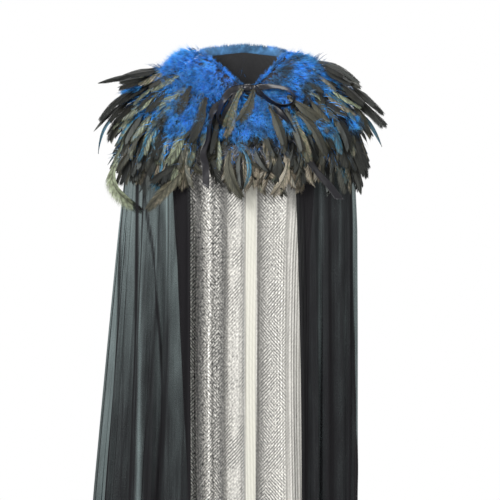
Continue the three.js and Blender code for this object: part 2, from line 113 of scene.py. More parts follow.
# One feather: the stations of its path, its barbs at each side, the vane they make and its shaft
PATH_STATIONS = 15
BARBS = 44
SINGLE_BARBS = 90
DOWN_BARBS = 15
BARB_FACES = np.array([[0, 1, 3], [0, 3, 2], [2, 3, 4]])
BARB_REACH = np.array([0, 0, 0.8, 0.8, 1.0])
BARB_POINTS = len(BARB_REACH)
BARB_TAPER = 0.92
BARB_OVERLAP = 1.5
SHORTEST_BARB = 0.0025
VANE = {
    "starts": 0.85, "ends": 0.985, "narrow_until": 0.25, "narrowest": 0.45, "full_until": 0.38, "taper": 1.6,
}
VANE_BARB = {"root_angle": 0.60, "tip_angle": 0.34, "droop": 0.20, "hook": 0.18}
DOWN_BARB = {"width_share": 0.012, "hook": 0.35}
SHAFT = {"root": 0.00085, "tip": 0.00025, "ridge": 0.9}

# Single feathers that stand out in the photo: root, middle and tip, each across and height in millimetres,
# the tip's depth, or none where the feather lies over the drape, how far its tip is lifted off the drape,
# what share of that lift its root has, its width and its tone
SINGLE_FEATHERS = table("root middle tip depth lift over width tone", [
    ((-173, -26), (-219, -33), (-269, -49), -40, 20, 0.15, 21, 0.06),
    ((-197, -37), (-256, -45), (-312, -59), -30, 20, 0.15, 15, 0.05),
    ((-182, -48), (-222, -53), (-263, -68), -60, 20, 0.15, 22, 0.12),
    ((-247, -74), (-276, -99), (-309, -137), -40, 20, 0.15, 20, 0.07),
    ((-243, -94), (-285, -121), (-322, -163), -30, 20, 0.15, 13, 0.05),
    ((-228, -124), (-289, -141), (-313, -212), -25, 20, 0.15, 10, 0.82),
    ((-237, -109), (-271, -141), (-287, -182), -35, 20, 0.15, 22, 0.1),
    ((-145, -50), (-180, -74), (-221, -108), None, 39, 0.75, 26, 0.97),
    ((-108, -70), (-151, -89), (-203, -119), None, 36, 0.45, 13, 0.98),
    ((-110, -63), (-124, -89), (-138, -117), None, 43, 0.75, 27, 0.24),
    ((-77, -87), (-90, -128), (-107, -174), None, 45, 0.75, 27, 0.2),
    ((23, -70), (13, -102), (-5, -132), None, 41, 0.75, 30, 0.44),
    ((56, -104), (73, -139), (87, -182), None, 42, 0.75, 25, 0.36),
    ((-27, -89), (-23, -126), (-37, -167), None, 35, 0.75, 22, 0.64),
    ((-243, -200), (-281, -267), (-216, -331), -70, 20, 0.15, 33, 0.96),
    ((-97, -218), (-146, -262), (-201, -320), -150, 20, 0.15, 30, 0.5),
    ((-173, -192), (-175, -239), (-197, -273), None, 40, 0.45, 10, 0.83),
    ((-14, -179), (13, -226), (1, -277), None, 38, 0.45, 11, 0.84),
    ((-25, -196), (-27, -244), (-1, -294), None, 39, 0.75, 26, 0.44),
    ((95, -213), (88, -252), (64, -289), None, 39, 0.75, 25, 0.6),
    ((191, -179), (212, -217), (213, -259), None, 38, 0.45, 11, 0.83),
    ((145, -13), (194, -21), (250, -58), -45, 20, 0.15, 22, 0.07),
    ((175, -48), (214, -73), (245, -102), None, 32, 0.45, 21, 0.96),
    ((215, -65), (261, -86), (304, -124), -20, 20, 0.15, 22, 0.09),
    ((210, -87), (260, -110), (310, -149), -25, 20, 0.15, 24, 0.06),
    ((232, -113), (270, -140), (300, -196), -40, 20, 0.15, 12, 0.83),
    ((219, -179), (251, -214), (267, -260), -60, 20, 0.15, 19, 0.1),
    ((215, -205), (241, -249), (253, -296), -85, 20, 0.15, 15, 0.14),
    ((93, -85), (140, -117), (197, -161), None, 50, 0.75, 26, 0.36),
    ((88, -111), (112, -148), (125, -195), None, 51, 0.75, 26, 0.28),
    ((106, -126), (123, -170), (140, -217), None, 51, 0.75, 24, 0.66),
    ((-47, -122), (-62, -161), (-69, -200), None, 33, 0.75, 24, 0.1),
    ((-149, -52), (-195, -59), (-240, -87), None, 39, 0.75, 22, 0.12),
    ((199, -148), (233, -188), (260, -256), -80, 20, 0.15, 22, 0.14),
    ((-217, -170), (-244, -205), (-271, -246), -70, 20, 0.15, 20, 0.34),
    ((-143, -89), (-191, -117), (-247, -148), None, 34, 0.45, 17, 0.88),
    ((-121, -74), (-164, -93), (-208, -114), None, 36, 0.45, 14, 0.96),
    ((-160, -126), (-204, -148), (-240, -187), None, 32, 0.45, 17, 0.9),
    ((132, -74), (175, -96), (232, -148), None, 38, 0.45, 15, 0.9),
    ((167, -96), (206, -126), (236, -178), None, 36, 0.45, 16, 0.52),
    ((-121, -205), (-151, -230), (-193, -263), -140, 20, 0.15, 22, 0.12),
    ((-167, -30), (-204, -34), (-240, -40), -70, 20, 0.15, 20, 0.12),
    ((-182, -47), (-220, -48), (-263, -56), -55, 20, 0.15, 18, 0.1),
    ((-203, -65), (-238, -77), (-268, -100), -50, 20, 0.15, 22, 0.08),
    ((-226, -88), (-264, -110), (-286, -137), -45, 20, 0.15, 22, 0.1),
    ((-141, -89), (-155, -111), (-169, -137), None, 34, 0.45, 18, 0.91),
    ((154, -21), (191, -37), (229, -58), -60, 20, 0.15, 22, 0.12),
    ((175, -28), (215, -47), (251, -67), -62, 20, 0.15, 18, 0.3),
    ((227, -59), (257, -81), (282, -105), -45, 20, 0.15, 20, 0.08),
    ((237, -78), (270, -112), (301, -150), -35, 20, 0.15, 22, 0.1),
    ((222, -88), (254, -125), (271, -165), -50, 20, 0.15, 22, 0.34),
    ((-215, -92), (-244, -108), (-270, -138), -55, 20, 0.15, 24, 0.14),
    ((200, -52), (229, -73), (258, -100), -58, 20, 0.15, 24, 0.14),
    ((160, -18), (188, -26), (214, -42), -75, 20, 0.15, 22, 0.1),
    ((0, -68), (-22, -105), (-34, -146), None, 37, 0.75, 28, 0.67),
    ((112, -118), (148, -152), (172, -205), None, 52, 0.75, 23, 0.32),
    ((126, -106), (176, -144), (212, -196), None, 50, 0.75, 19, 0.9),
])

# Patches where the down shows through the feathers, in a lighter copy of the down as painted light: their
# place across and height, their radius and how far they are raised, all in millimetres, over a row's
# feathers at a distance from the root in metres, and how many more there are round the back
DOWN_PATCHES = table("at radius raised", [
    ((-130, -6), 36, 8),
    ((-80, -58), 34, 8),
    ((-226, -66), 31, 20),
    ((-212, -92), 25, 27),
    ((-129, -134), 36, 9),
    ((-204, -122), 15, 4),
    ((-90, -146), 18, 9),
    ((18, -154), 28, 7),
    ((47, -94), 25, 5),
    ((101, -154), 17, 12),
    ((130, -20), 28, 5),
    ((200, -54), 19, 5),
    ((160, -158), 19, 13),
    ((216, -145), 18, 12),
])
PATCH_OVER = 0.050
BACK_PATCHES = 15

# Down: a tuft's fibres, how the tufts of the band, the rows and the patches are grown, where the rows' and
# patches' smallest are a share of their largest, and the down's dark, dull and lightest colours: the dark is
# painted shade at the fibres' roots, and the lightest a painted highlight at the ends of the feathers' down
TUFT_FIBRES = 14
BAND_TUFTS = {"Density": 260000.0, "Smallest": 0.0035, "Largest": 0.0085, "Spread": 0.75, "Seed": 5}
ROW_TUFTS = {"smallest": 0.55, "spread": 0.55, "denser_at_top": 2.2}
PATCH_TUFTS = {"density": 60000.0, "smallest": 0.6, "spread": 0.6, "seed": 21}
DARK_DOWN = (0.008, 0.014, 0.016)
DULL_DOWN = (0.070, 0.185, 0.270)
DOWN_HIGHLIGHT = (0.10, 0.42, 0.98)

# Sheer skirt: its folds from the yoke to the hem, its panels and the extra creases that show in the fronts
SKIRT_LEVELS = {
    "z": [-0.1903, -0.250, -0.380, -0.620, -0.920, -1.250],
    "depth": [0.0010, 0.0028, 0.0065, 0.0095, 0.0120, 0.0145],
    "out": [-0.0002, 0, 0, 0, 0, 0],
}
SKIRT_PANELS = {
    "right_front": {"folds": 7, "seed": 0.4},
    "back": {"folds": 17, "seed": 1.3},
    "left_front": {"folds": 8, "seed": 2.6},
}
FRONT_EDGE = {"left": -0.110, "right": 0.1235, "slants": 0.0150, "until": 0.750}
UNEVEN_FOLDS = {"drift": 0.22, "drift_rate": 2.1, "depth": 0.22, "depth_rate": 1.35}
CLOTH_TOP = -0.1905
PANEL_GRID = {"front": 28, "back": 22, "rows": 46}
BACK_CREASES = 24
# Creases of the sheer fronts: the place across of each in millimetres at three heights, its half width at
# the first and last of them, how many more layers of cloth lie in it there, and how far it is raised
CREASE_HEIGHTS = (-0.367, -0.942)
LEFT_CREASES = table("at wide layers raised", [
    ((-257, -271, -288), (1.3, 1.3), (2.5, 2.5), 1.0),
    ((-248, -253, -262), (1.2, 1.5), (0.4, 1.2), 0.8),
    ((-226, -232, -241), (2.4, 2.8), (5.0, 5.0), 2.5),
    ((-215, -225, -233), (1.8, 1.2), (4.5, 2.0), 2.0),
    ((-219, -219, -224), (2.5, 6.0), (0.0, -2.9), 0.0),
    ((-198, -199, -203), (13, 13), (0.5, 1.8), 2.0),
    ((-198, -176, -188), (1.8, 1.8), (3.4, 3.0), 1.0),
    ((-174, -166, -185), (9, 8), (0.9, 2.4), 1.5),
    ((-163, -165, -170), (1.4, 1.4), (-0.8, 0.0), -0.8),
    ((-158, -158, -160), (1.5, 1.5), (1.2, 0.2), 0.8),
    ((-147, -140, -151), (5, 17), (0.1, -0.6), -1.0),
    ((-125, -117, -111), (16, 4), (4.5, 4.5), 1.5),
])
RIGHT_CREASES = table("at wide layers raised", [
    ((133, 136, 132), (5, 5), (1.0, 1.0), 1.0),
    ((167, 166, 166), (5, 7), (-1.6, -1.4), -1.5),
    ((184, 187, 190), (4, 9), (1.0, 3.0), 1.5),
    ((206, 205, 212), (4, 5), (-1.0, -0.8), -1.0),
    ((229, 231, 240), (1.5, 1.5), (2.0, 2.0), 1.0),
])
# The sheer fronts' own layers at the two heights, and where their last strip towards the side thins out
FRONT_LAYERS = {
    "left_front": {"layers": (1.0, 3.8), "thins_at": (-257, -271, -288), "side": -1, "thin": (0.8, 1.5)},
    "right_front": {"layers": (4.4, 4.9), "thins_at": (229, 231, 240), "side": 1, "thin": (1.2, 1.2)},
}

# Pale inner cloth: its edges, its troughs and ridges, and how its net looks across it
INNER = {"left": -0.152, "meet": 0.001, "right": 0.156}
INNER_DEPTH = {"set_back": 0.032, "start_below": 0.012, "back_after": 0.260}
INNER_GRID = {"columns": 190, "rows": 40}
INNER_TOP = -0.0032
INNER_SLANT = 0.029
INNER_BOTTOM = -1.235
INNER_GROWTH = {"at_top": 0.55, "full_after": 0.900}
INNER_FOLDS = table("at wide deep", [
    (-141, 13, 5),
    (-117, 10, -6),
    (-98, 11, 8),
    (-84, 6, -6),
    (-73, 7, 6),
    (-61, 6, -5),
    (-47, 11, 7),
    (-31, 7, -7),
    (-10, 15, 5),
    (39, 7, -8),
    (66, 20, 6),
    (98, 6, -3),
    (111, 9, 5),
    (127, 8, -5),
    (144, 11, 5),
])
# The look across the inner cloth at places in millimetres: how light the cloth is, which is painted light
# and shade of its folds and of the edges that lie over it, how strong the threads are that rise to the right
# and to the left, and how rough the net is
INNER_LOOK = table("at light rising falling rough", [
    (-152, 0.03, 0, 0, 0.2),
    (-123, 0.03, 0, 0, 0.2),
    (-119, 1, 0.9, 0.9, 0.9),
    (-112, 0.85, 1, 1, 1),
    (-106, 0.5, 1, 1, 1.2),
    (-102, 0.25, 1, 1, 1.2),
    (-97, 0.13, 1, 1, 1.2),
    (-92, 0.2, 0.9, 0.9, 1.2),
    (-88, 0.32, 0.9, 0.9, 1.2),
    (-84, 0.52, 0.8, 0.8, 1),
    (-79, 0.66, 0.8, 0.8, 1),
    (-74, 0.96, 0.8, 0.8, 1),
    (-70, 0.6, 0.9, 0.9, 1),
    (-66, 0.38, 1, 1, 1.2),
    (-61, 0.49, 1, 1, 1.2),
    (-56, 0.6, 1, 1, 1.2),
    (-52, 0.42, 1, 1, 1.2),
    (-47, 0.24, 0.9, 0.9, 1),
    (-42, 0.21, 0.8, 0.8, 0.7),
    (-38, 0.28, 0.8, 0.6, 0.5),
    (-34, 0.46, 0.95, 0.2, 0.5),
    (-29, 0.68, 0.95, 0.15, 0.5),
    (-18, 0.7, 0.95, 0.15, 0.5),
    (-7, 0.64, 0.9, 0.1, 0.4),
    (-2, 0.46, 0.9, 0.1, 0.4),
    (2, 0.48, 0.6, 0.1, 0.3),
    (5, 0.45, 0, 0, 0.1),
    (8, 0.86, 0, 0, 0.1),
    (28, 0.86, 0, 0, 0.1),
    (31, 0.22, 0.4, 0.4, 0.4),
    (36, 0.28, 0.5, 0.5, 0.4),
    (42, 0.45, 1, 1, 0.6),
    (50, 0.62, 1, 1, 0.6),
    (70, 0.78, 0.95, 0.95, 0.5),
    (82, 0.92, 0.9, 0.9, 0.5),
    (89, 1, 0.75, 0.75, 0.5),
    (96, 1, 0.65, 0.65, 0.3),
    (100, 0.4, 0.2, 0.2, 0.1),
    (103, 0.55, 0.25, 0, 0.15),
    (108, 0.82, 0.25, 0, 0.15),
    (114, 1, 0.2, 0, 0.15),
    (120, 0.98, 0.1, 0, 0.1),
    (125, 0.95, 0.1, 0, 0.1),
    (130, 0.7, 0.1, 0, 0.1),
    (156, 0.4, 0.2, 0.2, 0.1),
])
# The net's threads, and the plain band along the right inner front's edge: where it runs from and to across,
# how far it is raised and the columns of its grid
NET = {"period": 0.0068, "width": 0.40, "slope": 0.85, "wander": 0.0028, "soft": 0.06}
EDGE_BAND = (0.0065, 0.0287)
EDGE_BAND_RAISED = 0.0015
EDGE_BAND_COLUMNS = 24

# Satin ribbon: the knot, and each piece's route in millimetres with how far its band is turned edge-on
RIBBON_WIDTH = 0.015
RIBBON_THICK = 0.0007
KNOT = {"x": 9.7, "y": -79.8, "z": -69, "half_wide": 9, "half_deep": 7, "half_tall": 9.5}
RIBBON_ROUTES = {
    "ribbon_loop_left": [
        (0.3, -84, -69, 0), (-6, -84, -69, 0), (-25, -98, -74, 0), (-39, -110, -91, 25),
        (-48, -130, -112, 55), (-52, -144, -131, 70), (-48, -144, -139, 70), (-36, -128, -118, 40),
        (-20, -106, -94, 10), (-6, -80.5, -69, 0), (0.3, -80.5, -69, 0),
    ],
    "ribbon_tail_left": [
        (0.3, -77, -69, 0), (-5, -77, -69, 0), (-34, -99, -92, 0), (-58, -117, -110, 15),
        (-69, -137, -138, 50), (-73, -156, -175, 55), (-83, -159, -204, 30), (-78, -158, -228, 0),
        (-77, -162, -273, 20),
    ],
    "ribbon_loop_right": [
        (19.1, -84, -69, 0), (24, -84, -69, 0), (40, -101, -82, 40), (60, -115, -96, 62),
        (85, -119, -105, 66), (104, -118, -100, 70), (109, -113, -87, 70), (100, -106, -74, 66),
        (82, -101, -67, 62), (60, -95, -65, 55), (38, -86, -67, 25), (24, -80.5, -69, 0),
        (19.1, -80.5, -69, 0),
    ],
    "ribbon_tail_right": [
        (19.1, -77, -69, 0), (24, -77, -69, 0), (50, -96, -97, 0), (80, -117, -121, 15),
        (98, -135, -144, 50), (118, -146, -184, 40), (136, -147, -212, 25), (156, -142, -242, 35),
        (183, -135, -273, 15), (205, -132, -302, 10),
    ],
}

# The stage: its round floor, its soft lights with the place they all point at, and what the camera frames
FLOOR = {"radius": 1.05, "below_hem": 0.030, "sides": 64}
LIGHTS = table("name at size power", [
    ("key", (-1.6, -2.6, 1.3), 1.3, 105),
    ("fill", (2.2, -2.2, 0.4), 1.6, 30),
    ("top", (0.2, 0.6, 2.0), 1.4, 28),
])
LIT_PLACE = (0, 0, -0.35)
VIEW = {"middle": (0.0154, -0.12, -0.411), "width": 1.063, "sensor": 36}


def mix(a, b, t):
    return a + (b - a) * t


def ease(t):
    t = np.clip(t, 0, 1)
    return t * t * (3 - 2 * t)


def signed_power(value, power):
    return np.sign(value) * np.abs(value) ** power


def unit(vectors):
    return vectors / np.maximum(np.linalg.norm(vectors, axis=-1, keepdims=True), 1e-9)


# The draped form


def neck_points(direction):
    """The neck edge of the yoke: a low V at the front and nearly level round the back."""
    turned = direction - NECK_LOWEST * np.cos(direction / 2) ** 2
    from_side = 1 - np.sqrt(np.sin(turned) ** 2 + NECK_ROUNDING)
    height = np.where(np.cos(turned) > 0, -NECK["front_drop"] * from_side, NECK["back_rise"] * from_side)
    reach = np.where(np.cos(direction) > 0, NECK["front"], NECK["back"])
    return np.stack([NECK["half_width"] * np.sin(direction), -reach * np.cos(direction), height], -1)


def ring_side(sign, z):
    """How far the ring reaches at a height, to the left where the sign is negative, or else to the right."""
    down = np.clip((YOKE_EDGE - z) / (YOKE_EDGE - HEM_Z), 0, 1)
    left = mix(RING["left"], HEM["left"], down)
    right = mix(RING["right"], HEM["right"], down)
    return np.where(sign < 0, left, right)


def ring_points(direction, z):
    """The ring that the cloth hangs on at a height: the yoke's edge, widening to the hem."""
    direction, z = np.broadcast_arrays(np.asarray(direction, float), np.asarray(z, float))
    sine = signed_power(np.sin(direction), SQUARENESS)
    cosine = signed_power(np.cos(direction), SQUARENESS)
    down = np.clip((YOKE_EDGE - z) / (YOKE_EDGE - HEM_Z), 0, 1)
    front = mix(RING["front"], HEM["front"], down)
    back = mix(RING["back"], HEM["back"], down)
    return np.stack([ring_side(sine, z) * sine, -np.where(cosine > 0, front, back) * cosine, z], -1)


def direction_at(across, z):
    """The direction in which the ring at a height lies a distance across the front."""
    share = np.minimum(np.abs(across / ring_side(across, z)), 1)
    return np.sign(across) * np.arcsin(share ** (1 / SQUARENESS))


def hung_points(direction, z, out):
    """Points of the ring moved out by a distance, level."""
    along = ring_points(direction + SLOPE_STEP, z) - ring_points(direction - SLOPE_STEP, z)
    outward = unit(np.stack([along[..., 1], -along[..., 0], np.zeros(along.shape[:-1])], -1))
    return ring_points(direction, z) + outward * np.asarray(out)[..., None]


def drape_points(direction, share):
    """Points of the draped form: the yoke down to share 1, and cloth that hangs beyond it."""
    direction, share = np.broadcast_arrays(np.asarray(direction, float), np.asarray(share, float))
    start = neck_points(direction)
    edge = ring_points(direction, YOKE_EDGE)
    cosine = np.cos(direction)
    turned = np.where(cosine > 0, STRAIGHTNESS["front"], STRAIGHTNESS["back"])
    straight = mix(STRAIGHTNESS["side"], turned, cosine**2)
    angle = np.minimum(share, 1) * math.pi / 2
    out = np.sin(angle)
    fall = mix(1 - np.cos(angle), out, straight)
    draped = mix(start, edge, np.stack([out, out, fall], -1))
    hung = ring_points(direction, YOKE_EDGE - (share - 1) * HANG)
    return np.where(share[..., None] > 1, hung, draped)


def drape_frame(direction, share):
    """The directions along the rings, down the form and out of it."""
    along = unit(drape_points(direction + SLOPE_STEP, share) - drape_points(direction - SLOPE_STEP, share))
    above = drape_points(direction, np.maximum(0, share - SLOPE_STEP))
    down = unit(drape_points(direction, share + SLOPE_STEP) - above)
    return along, down, unit(np.cross(down, along))


def shares_below(direction, share, distance):
    """For each direction, the shares that lie some distances below a share."""
    steps = np.linspace(0, 2.6, 261)
    points = drape_points(direction[:, None], steps[None, :])
    lengths = np.cumsum(np.linalg.norm(np.diff(points, axis=1), axis=-1), axis=1)
    lengths = np.concatenate([np.zeros((len(direction), 1)), lengths], axis=1)
    found = np.empty(distance.shape)
    for i in range(len(direction)):
        start = np.interp(share[i], steps, lengths[i])
        found[i] = np.interp(start + distance[i], lengths[i], steps)
    return found


def yoke_direction(u, share):
    """The direction of the yoke's place u: 0 at its right front edge, round the back to 1 at its left."""
    slant = np.clip(share, 0, 1)
    right = mix(OPENING["neck_right"], OPENING["edge_right"], slant)
    left = mix(OPENING["neck_left"], OPENING["edge_left"], slant) + 360
    return np.radians(mix(right, left, u))


def even_places(count, share, margin=0.016):
    """Places round a row at even lengths."""
    steps = np.linspace(0, 1, 361)
    points = drape_points(yoke_direction(steps, share), share)
    lengths = np.concatenate([[0], np.cumsum(np.linalg.norm(np.diff(points, axis=0), axis=-1))])
    return np.interp(np.linspace(margin, 1 - margin, count) * lengths[-1], lengths, steps)


def feather_lift(direction, distance):
    """How far a row's feathers stand off the draped form at a distance from their roots."""
    side = np.abs(np.sin(direction)) ** 4
    curl = mix(FEATHER_LIFT["front"], FEATHER_LIFT["side"], side)
    return FEATHER_LIFT["root"] + FEATHER_LIFT["slope"] * distance + curl * distance**2


def front_place(across, height):
    """The direction and share of the draped form's point that is seen at a place from the front."""
    directions = np.linspace(-math.pi / 2, math.pi / 2, 181)[:, None]
    shares = np.linspace(0, 2, 201)[None, :]
    points = drape_points(directions, shares)
    gap = (points[..., 0] - across) ** 2 + (points[..., 2] - height) ** 2
    i, j = np.unravel_index(np.argmin(gap), gap.shape)
    return directions[i, 0], shares[0, j]


# Meshes


def mesh_object(name, points, faces, attributes=None, uv=None, smooth=True):
    """An object from arrays of points and faces, with attributes and a UV for each point."""
    mesh = bpy.data.meshes.new(name)
    points = np.asarray(points, float).reshape(-1, 3)
    faces = np.asarray(faces)
    size = faces.shape[1]
    mesh.vertices.add(len(points))
    mesh.vertices.foreach_set("co", points.ravel())
    mesh.loops.add(faces.size)
    mesh.loops.foreach_set("vertex_index", faces.ravel().astype(np.int32))
    mesh.polygons.add(len(faces))
    mesh.polygons.foreach_set("loop_start", np.arange(len(faces), dtype=np.int32) * size)
    mesh.polygons.foreach_set("use_smooth", np.full(len(faces), smooth))
    mesh.update(calc_edges=True)
    for key, values in (attributes or {}).items():
        values = np.asarray(values, float)
        kind = "FLOAT_VECTOR" if values.ndim == 2 else "FLOAT"
        layer = mesh.attributes.new(key, kind, "POINT")
        layer.data.foreach_set("vector" if values.ndim == 2 else "value", values.ravel())
    if uv is not None:
        layer = mesh.uv_layers.new(name="UVMap")
        layer.data.foreach_set("uv", np.asarray(uv, float)[faces.ravel()].ravel())
    mesh.validate()
    made = bpy.data.objects.new(name, mesh)
    bpy.context.scene.collection.objects.link(made)
    return made


def grid_faces(columns, rows, first=0):
    """Quads of a grid whose points run down each column."""
    i, j = np.meshgrid(np.arange(columns - 1), np.arange(rows - 1), indexing="ij")
    a = (first + i * rows + j).ravel()
    return np.stack([a, a + 1, a + rows + 1, a + rows], -1)


def grid_uv(points):
    """A UV in metres of cloth: across the middle row, and down each column."""
    middle = points[:, points.shape[1] // 2]
    across = np.concatenate([[0], np.cumsum(np.linalg.norm(np.diff(middle, axis=0), axis=-1))])
    down = np.cumsum(np.linalg.norm(np.diff(points, axis=1), axis=-1), axis=1)
    down = np.concatenate([np.zeros((len(points), 1)), down], axis=1)
    return np.stack([np.broadcast_to(across[:, None], down.shape), down], -1)


def finish_piece(made, nodes, material):
    """Gives a finished piece its material and the nodes it replaces, and fixes it to the body."""
    made.data.materials.clear()
    made.data.materials.append(material)
    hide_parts(*nodes)
    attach(made, "root")


# Shader nodes


def put(tree, kind, inputs=None, **settings):
    """Adds a node, sets it up and fills its inputs with values or with links from other nodes."""
    added = tree.nodes.new(kind)
    for key, value in settings.items():
        setattr(added, key, value)
    for key, value in (inputs or {}).items():
        socket = added.inputs[key]
        if isinstance(value, bpy.types.NodeSocket):
            tree.links.new(value, socket)
        else:
            socket.default_value = value
    return added


def calculate(tree, operation, a, b=0.0, clamp=False):
    return put(tree, "ShaderNodeMath", {0: a, 1: b}, operation=operation, use_clamp=clamp).outputs[0]


def times(tree, *values):
    """The product of values and links."""
    product = values[0]
    for value in values[1:]:
        product = calculate(tree, "MULTIPLY", product, value)
    return product


def blend_colours(tree, factor, a, b, kind="MIX"):
    mixed = put(tree, "ShaderNodeMix", {"Factor": factor}, data_type="RGBA", blend_type=kind)
    for key, value in ((6, a), (7, b)):
        if isinstance(value, bpy.types.NodeSocket):
            tree.links.new(value, mixed.inputs[key])
        else:
            mixed.inputs[key].default_value = (*value[:3], 1)
    return mixed.outputs[2]


def shaded(tree, colour, level):
    """A colour made darker or lighter by a level."""
    grey = put(tree, "ShaderNodeCombineColor", {0: level, 1: level, 2: level}).outputs[0]
    return blend_colours(tree, 1.0, colour, grey, "MULTIPLY")


def scaled(colour, factor):
    return tuple(min(1, part * factor) for part in colour)


def colour_ramp(tree, factor, stops):
    ramp = put(tree, "ShaderNodeValToRGB", {"Fac": factor})
    elements = ramp.color_ramp.elements
    while len(elements) < len(stops):
        elements.new(0.5)
    for element, (place, colour) in zip(elements, stops):
        element.position = place
        element.color = (*colour, 1)
    return ramp.outputs["Color"]


def attribute(tree, name):
    return put(tree, "ShaderNodeAttribute", attribute_name=name, attribute_type="GEOMETRY").outputs["Fac"]


def remap(tree, value, low, high, to_low=0.0, to_high=1.0):
    inputs = {"Value": value, "From Min": low, "From Max": high, "To Min": to_low, "To Max": to_high}
    return put(tree, "ShaderNodeMapRange", inputs).outputs["Result"]


def noise(tree, vector, scale, detail, stretch=None):
    if stretch:
        vector = put(tree, "ShaderNodeMapping", {"Vector": vector, "Scale": stretch}).outputs[0]
    inputs = {"Vector": vector, "Scale": scale, "Detail": detail}
    return put(tree, "ShaderNodeTexNoise", inputs).outputs["Fac"]


def noise_level(tree, vector, detail, stretch, low, high):
    """Stretched noise whose common values run from a low to a high level."""
    return remap(tree, noise(tree, vector, 1.0, detail, stretch), 0.3, 0.7, low, high)


def bump(tree, height, strength, distance):
    inputs = {"Height": height, "Strength": strength, "Distance": distance}
    return put(tree, "ShaderNodeBump", inputs).outputs[0]


def new_material(name, **principled):
    """A material with one Principled BSDF whose named sockets are set."""
    material = bpy.data.materials.new(name)
    material.use_nodes = True
    tree = material.node_tree
    shader = tree.nodes["Principled BSDF"]
    for key, value in principled.items():
        shader.inputs[key.replace("_", " ").title().replace("Ior", "IOR")].default_value = value
    return material, tree, shader


def blend_surface(tree, factor, shader, other):
    """Makes the material's surface a blend of its shader and another."""
    blended = put(tree, "ShaderNodeMixShader", {0: factor, 1: shader.outputs[0], 2: other.outputs[0]})
    tree.links.new(blended.outputs[0], tree.nodes["Material Output"].inputs["Surface"])


def object_coordinates(tree):
    return put(tree, "ShaderNodeTexCoord").outputs["Object"]


def uv_coordinates(tree):
    return put(tree, "ShaderNodeUVMap", uv_map="UVMap").outputs[0]


def felt_material(colour):
    material, tree, shader = new_material("black_felt", roughness=0.95, sheen_weight=0.25)
    place = object_coordinates(tree)
    fibres = noise(tree, place, 900, 4)
    patches = remap(tree, noise(tree, place, 35, 3), 0.3, 0.7, 0.85, 1.15)
    level = times(tree, remap(tree, fibres, 0.3, 0.7, 0.7, 1.4), patches)
    tree.links.new(shaded(tree, colour, level), shader.inputs["Base Color"])
    tree.links.new(bump(tree, fibres, 0.5, 0.0006), shader.inputs["Normal"])
    return material


def down_material(name, colour, back_colour, dullness=1.0):
    """Down: painted shade at the fibres' roots and painted highlights at their ends, dull in places, and of
    another colour at the back.
    """
    material, tree, shader = new_material(name, roughness=0.8, sheen_weight=0.4, specular_ior_level=0.25)
    place = object_coordinates(tree)
    apart = put(tree, "ShaderNodeSeparateXYZ", {0: place}).outputs
    patches = remap(tree, noise(tree, place, 60, 3), 0.35, 0.65, -0.26, 0.36)
    reach = times(tree, attribute(tree, "reach"), 0.45)
    level = calculate(tree, "ADD", reach, times(tree, attribute(tree, "tone"), 0.35))
    level = calculate(tree, "ADD", level, patches, clamp=True)
    # The ramp's dark end is painted shade at the fibres' roots, and its light end a painted highlight at
    # their ends
    light = tuple(min(1, part * 1.2 + 0.13) for part in colour)
    shade = colour_ramp(tree, level, [(0.0, scaled(colour, 0.25)), (0.45, colour), (1.0, light)])
    if back_colour != colour:
        stops = [(0.0, scaled(back_colour, 0.55)), (0.5, back_colour), (1.0, scaled(back_colour, 1.3))]
        behind = remap(tree, apart["Y"], -0.045, 0.03)
        shade = blend_colours(tree, behind, shade, colour_ramp(tree, level, stops))
    dull = remap(tree, noise(tree, place, 24, 2), 0.42, 0.58)
    dull = times(tree, dull, remap(tree, apart["X"], -0.04, 0.10, 0.38 * dullness, 0.95 * dullness))
    shade = blend_colours(tree, dull, shade, colour_ramp(tree, level, [(0.0, DARK_DOWN), (1.0, DULL_DOWN)]))
    tree.links.new(shade, shader.inputs["Base Color"])
    blend_surface(tree, 0.35, shader, put(tree, "ShaderNodeBsdfTranslucent", {"Color": shade}))
    return material


def feather_material(down_colour):
    """Feathers: blue down at the root, then a glossy dark vane with streaks along its barbs, partly painted
    highlights.
    """
    material, tree, shader = new_material(
        "feathers", roughness=0.44, specular_ior_level=0.36, specular_tint=(0.92, 1.0, 0.95, 1)
    )
    streak_and_highlight = attribute(tree, "streak_and_highlight")
    reach = attribute(tree, "reach")
    mottle = remap(tree, noise(tree, object_coordinates(tree), 140, 3), 0.3, 0.7, -0.06, 0.06)
    vane = colour_ramp(tree, calculate(tree, "ADD", attribute(tree, "tone"), mottle, clamp=True), VANE_TONES)
    # Streaks along the barbs, lightened up to double: barbs of differing tone and painted highlights
    highlighted_streak = remap(tree, streak_and_highlight, 0.1, 0.9, 0.3, 2.2)
    tip = remap(tree, attribute(tree, "along"), 0.55, 1.0, 1.25, 0.45)
    edge = remap(tree, reach, 0.0, 1.0, 0.8, 1.35)
    vane = shaded(tree, vane, times(tree, highlighted_streak, tip, edge))
    # The down at the feathers' roots: painted shade at its barbs' roots and a painted highlight at their
    # ends
    level = calculate(tree, "ADD", times(tree, reach, 0.6), times(tree, streak_and_highlight, 0.4))
    down = colour_ramp(tree, level, [(0.0, scaled(down_colour, 0.3)), (0.6, down_colour), (1.0, DOWN_HIGHLIGHT)])
    tree.links.new(blend_colours(tree, attribute(tree, "down"), vane, down), shader.inputs["Base Color"])
    return material


def satin_material(colour):
    material, tree, shader = new_material(
        "black_satin", roughness=0.30, specular_ior_level=0.5, anisotropic=0.4
    )
    threads = noise(tree, uv_coordinates(tree), 1.0, 2, stretch=(5000, 350, 1))
    shade = blend_colours(tree, threads, scaled(colour, 0.6), scaled(colour, 1.6))
    tree.links.new(shade, shader.inputs["Base Color"])
    tree.links.new(bump(tree, threads, 0.25, 0.0002), shader.inputs["Normal"])
    return material


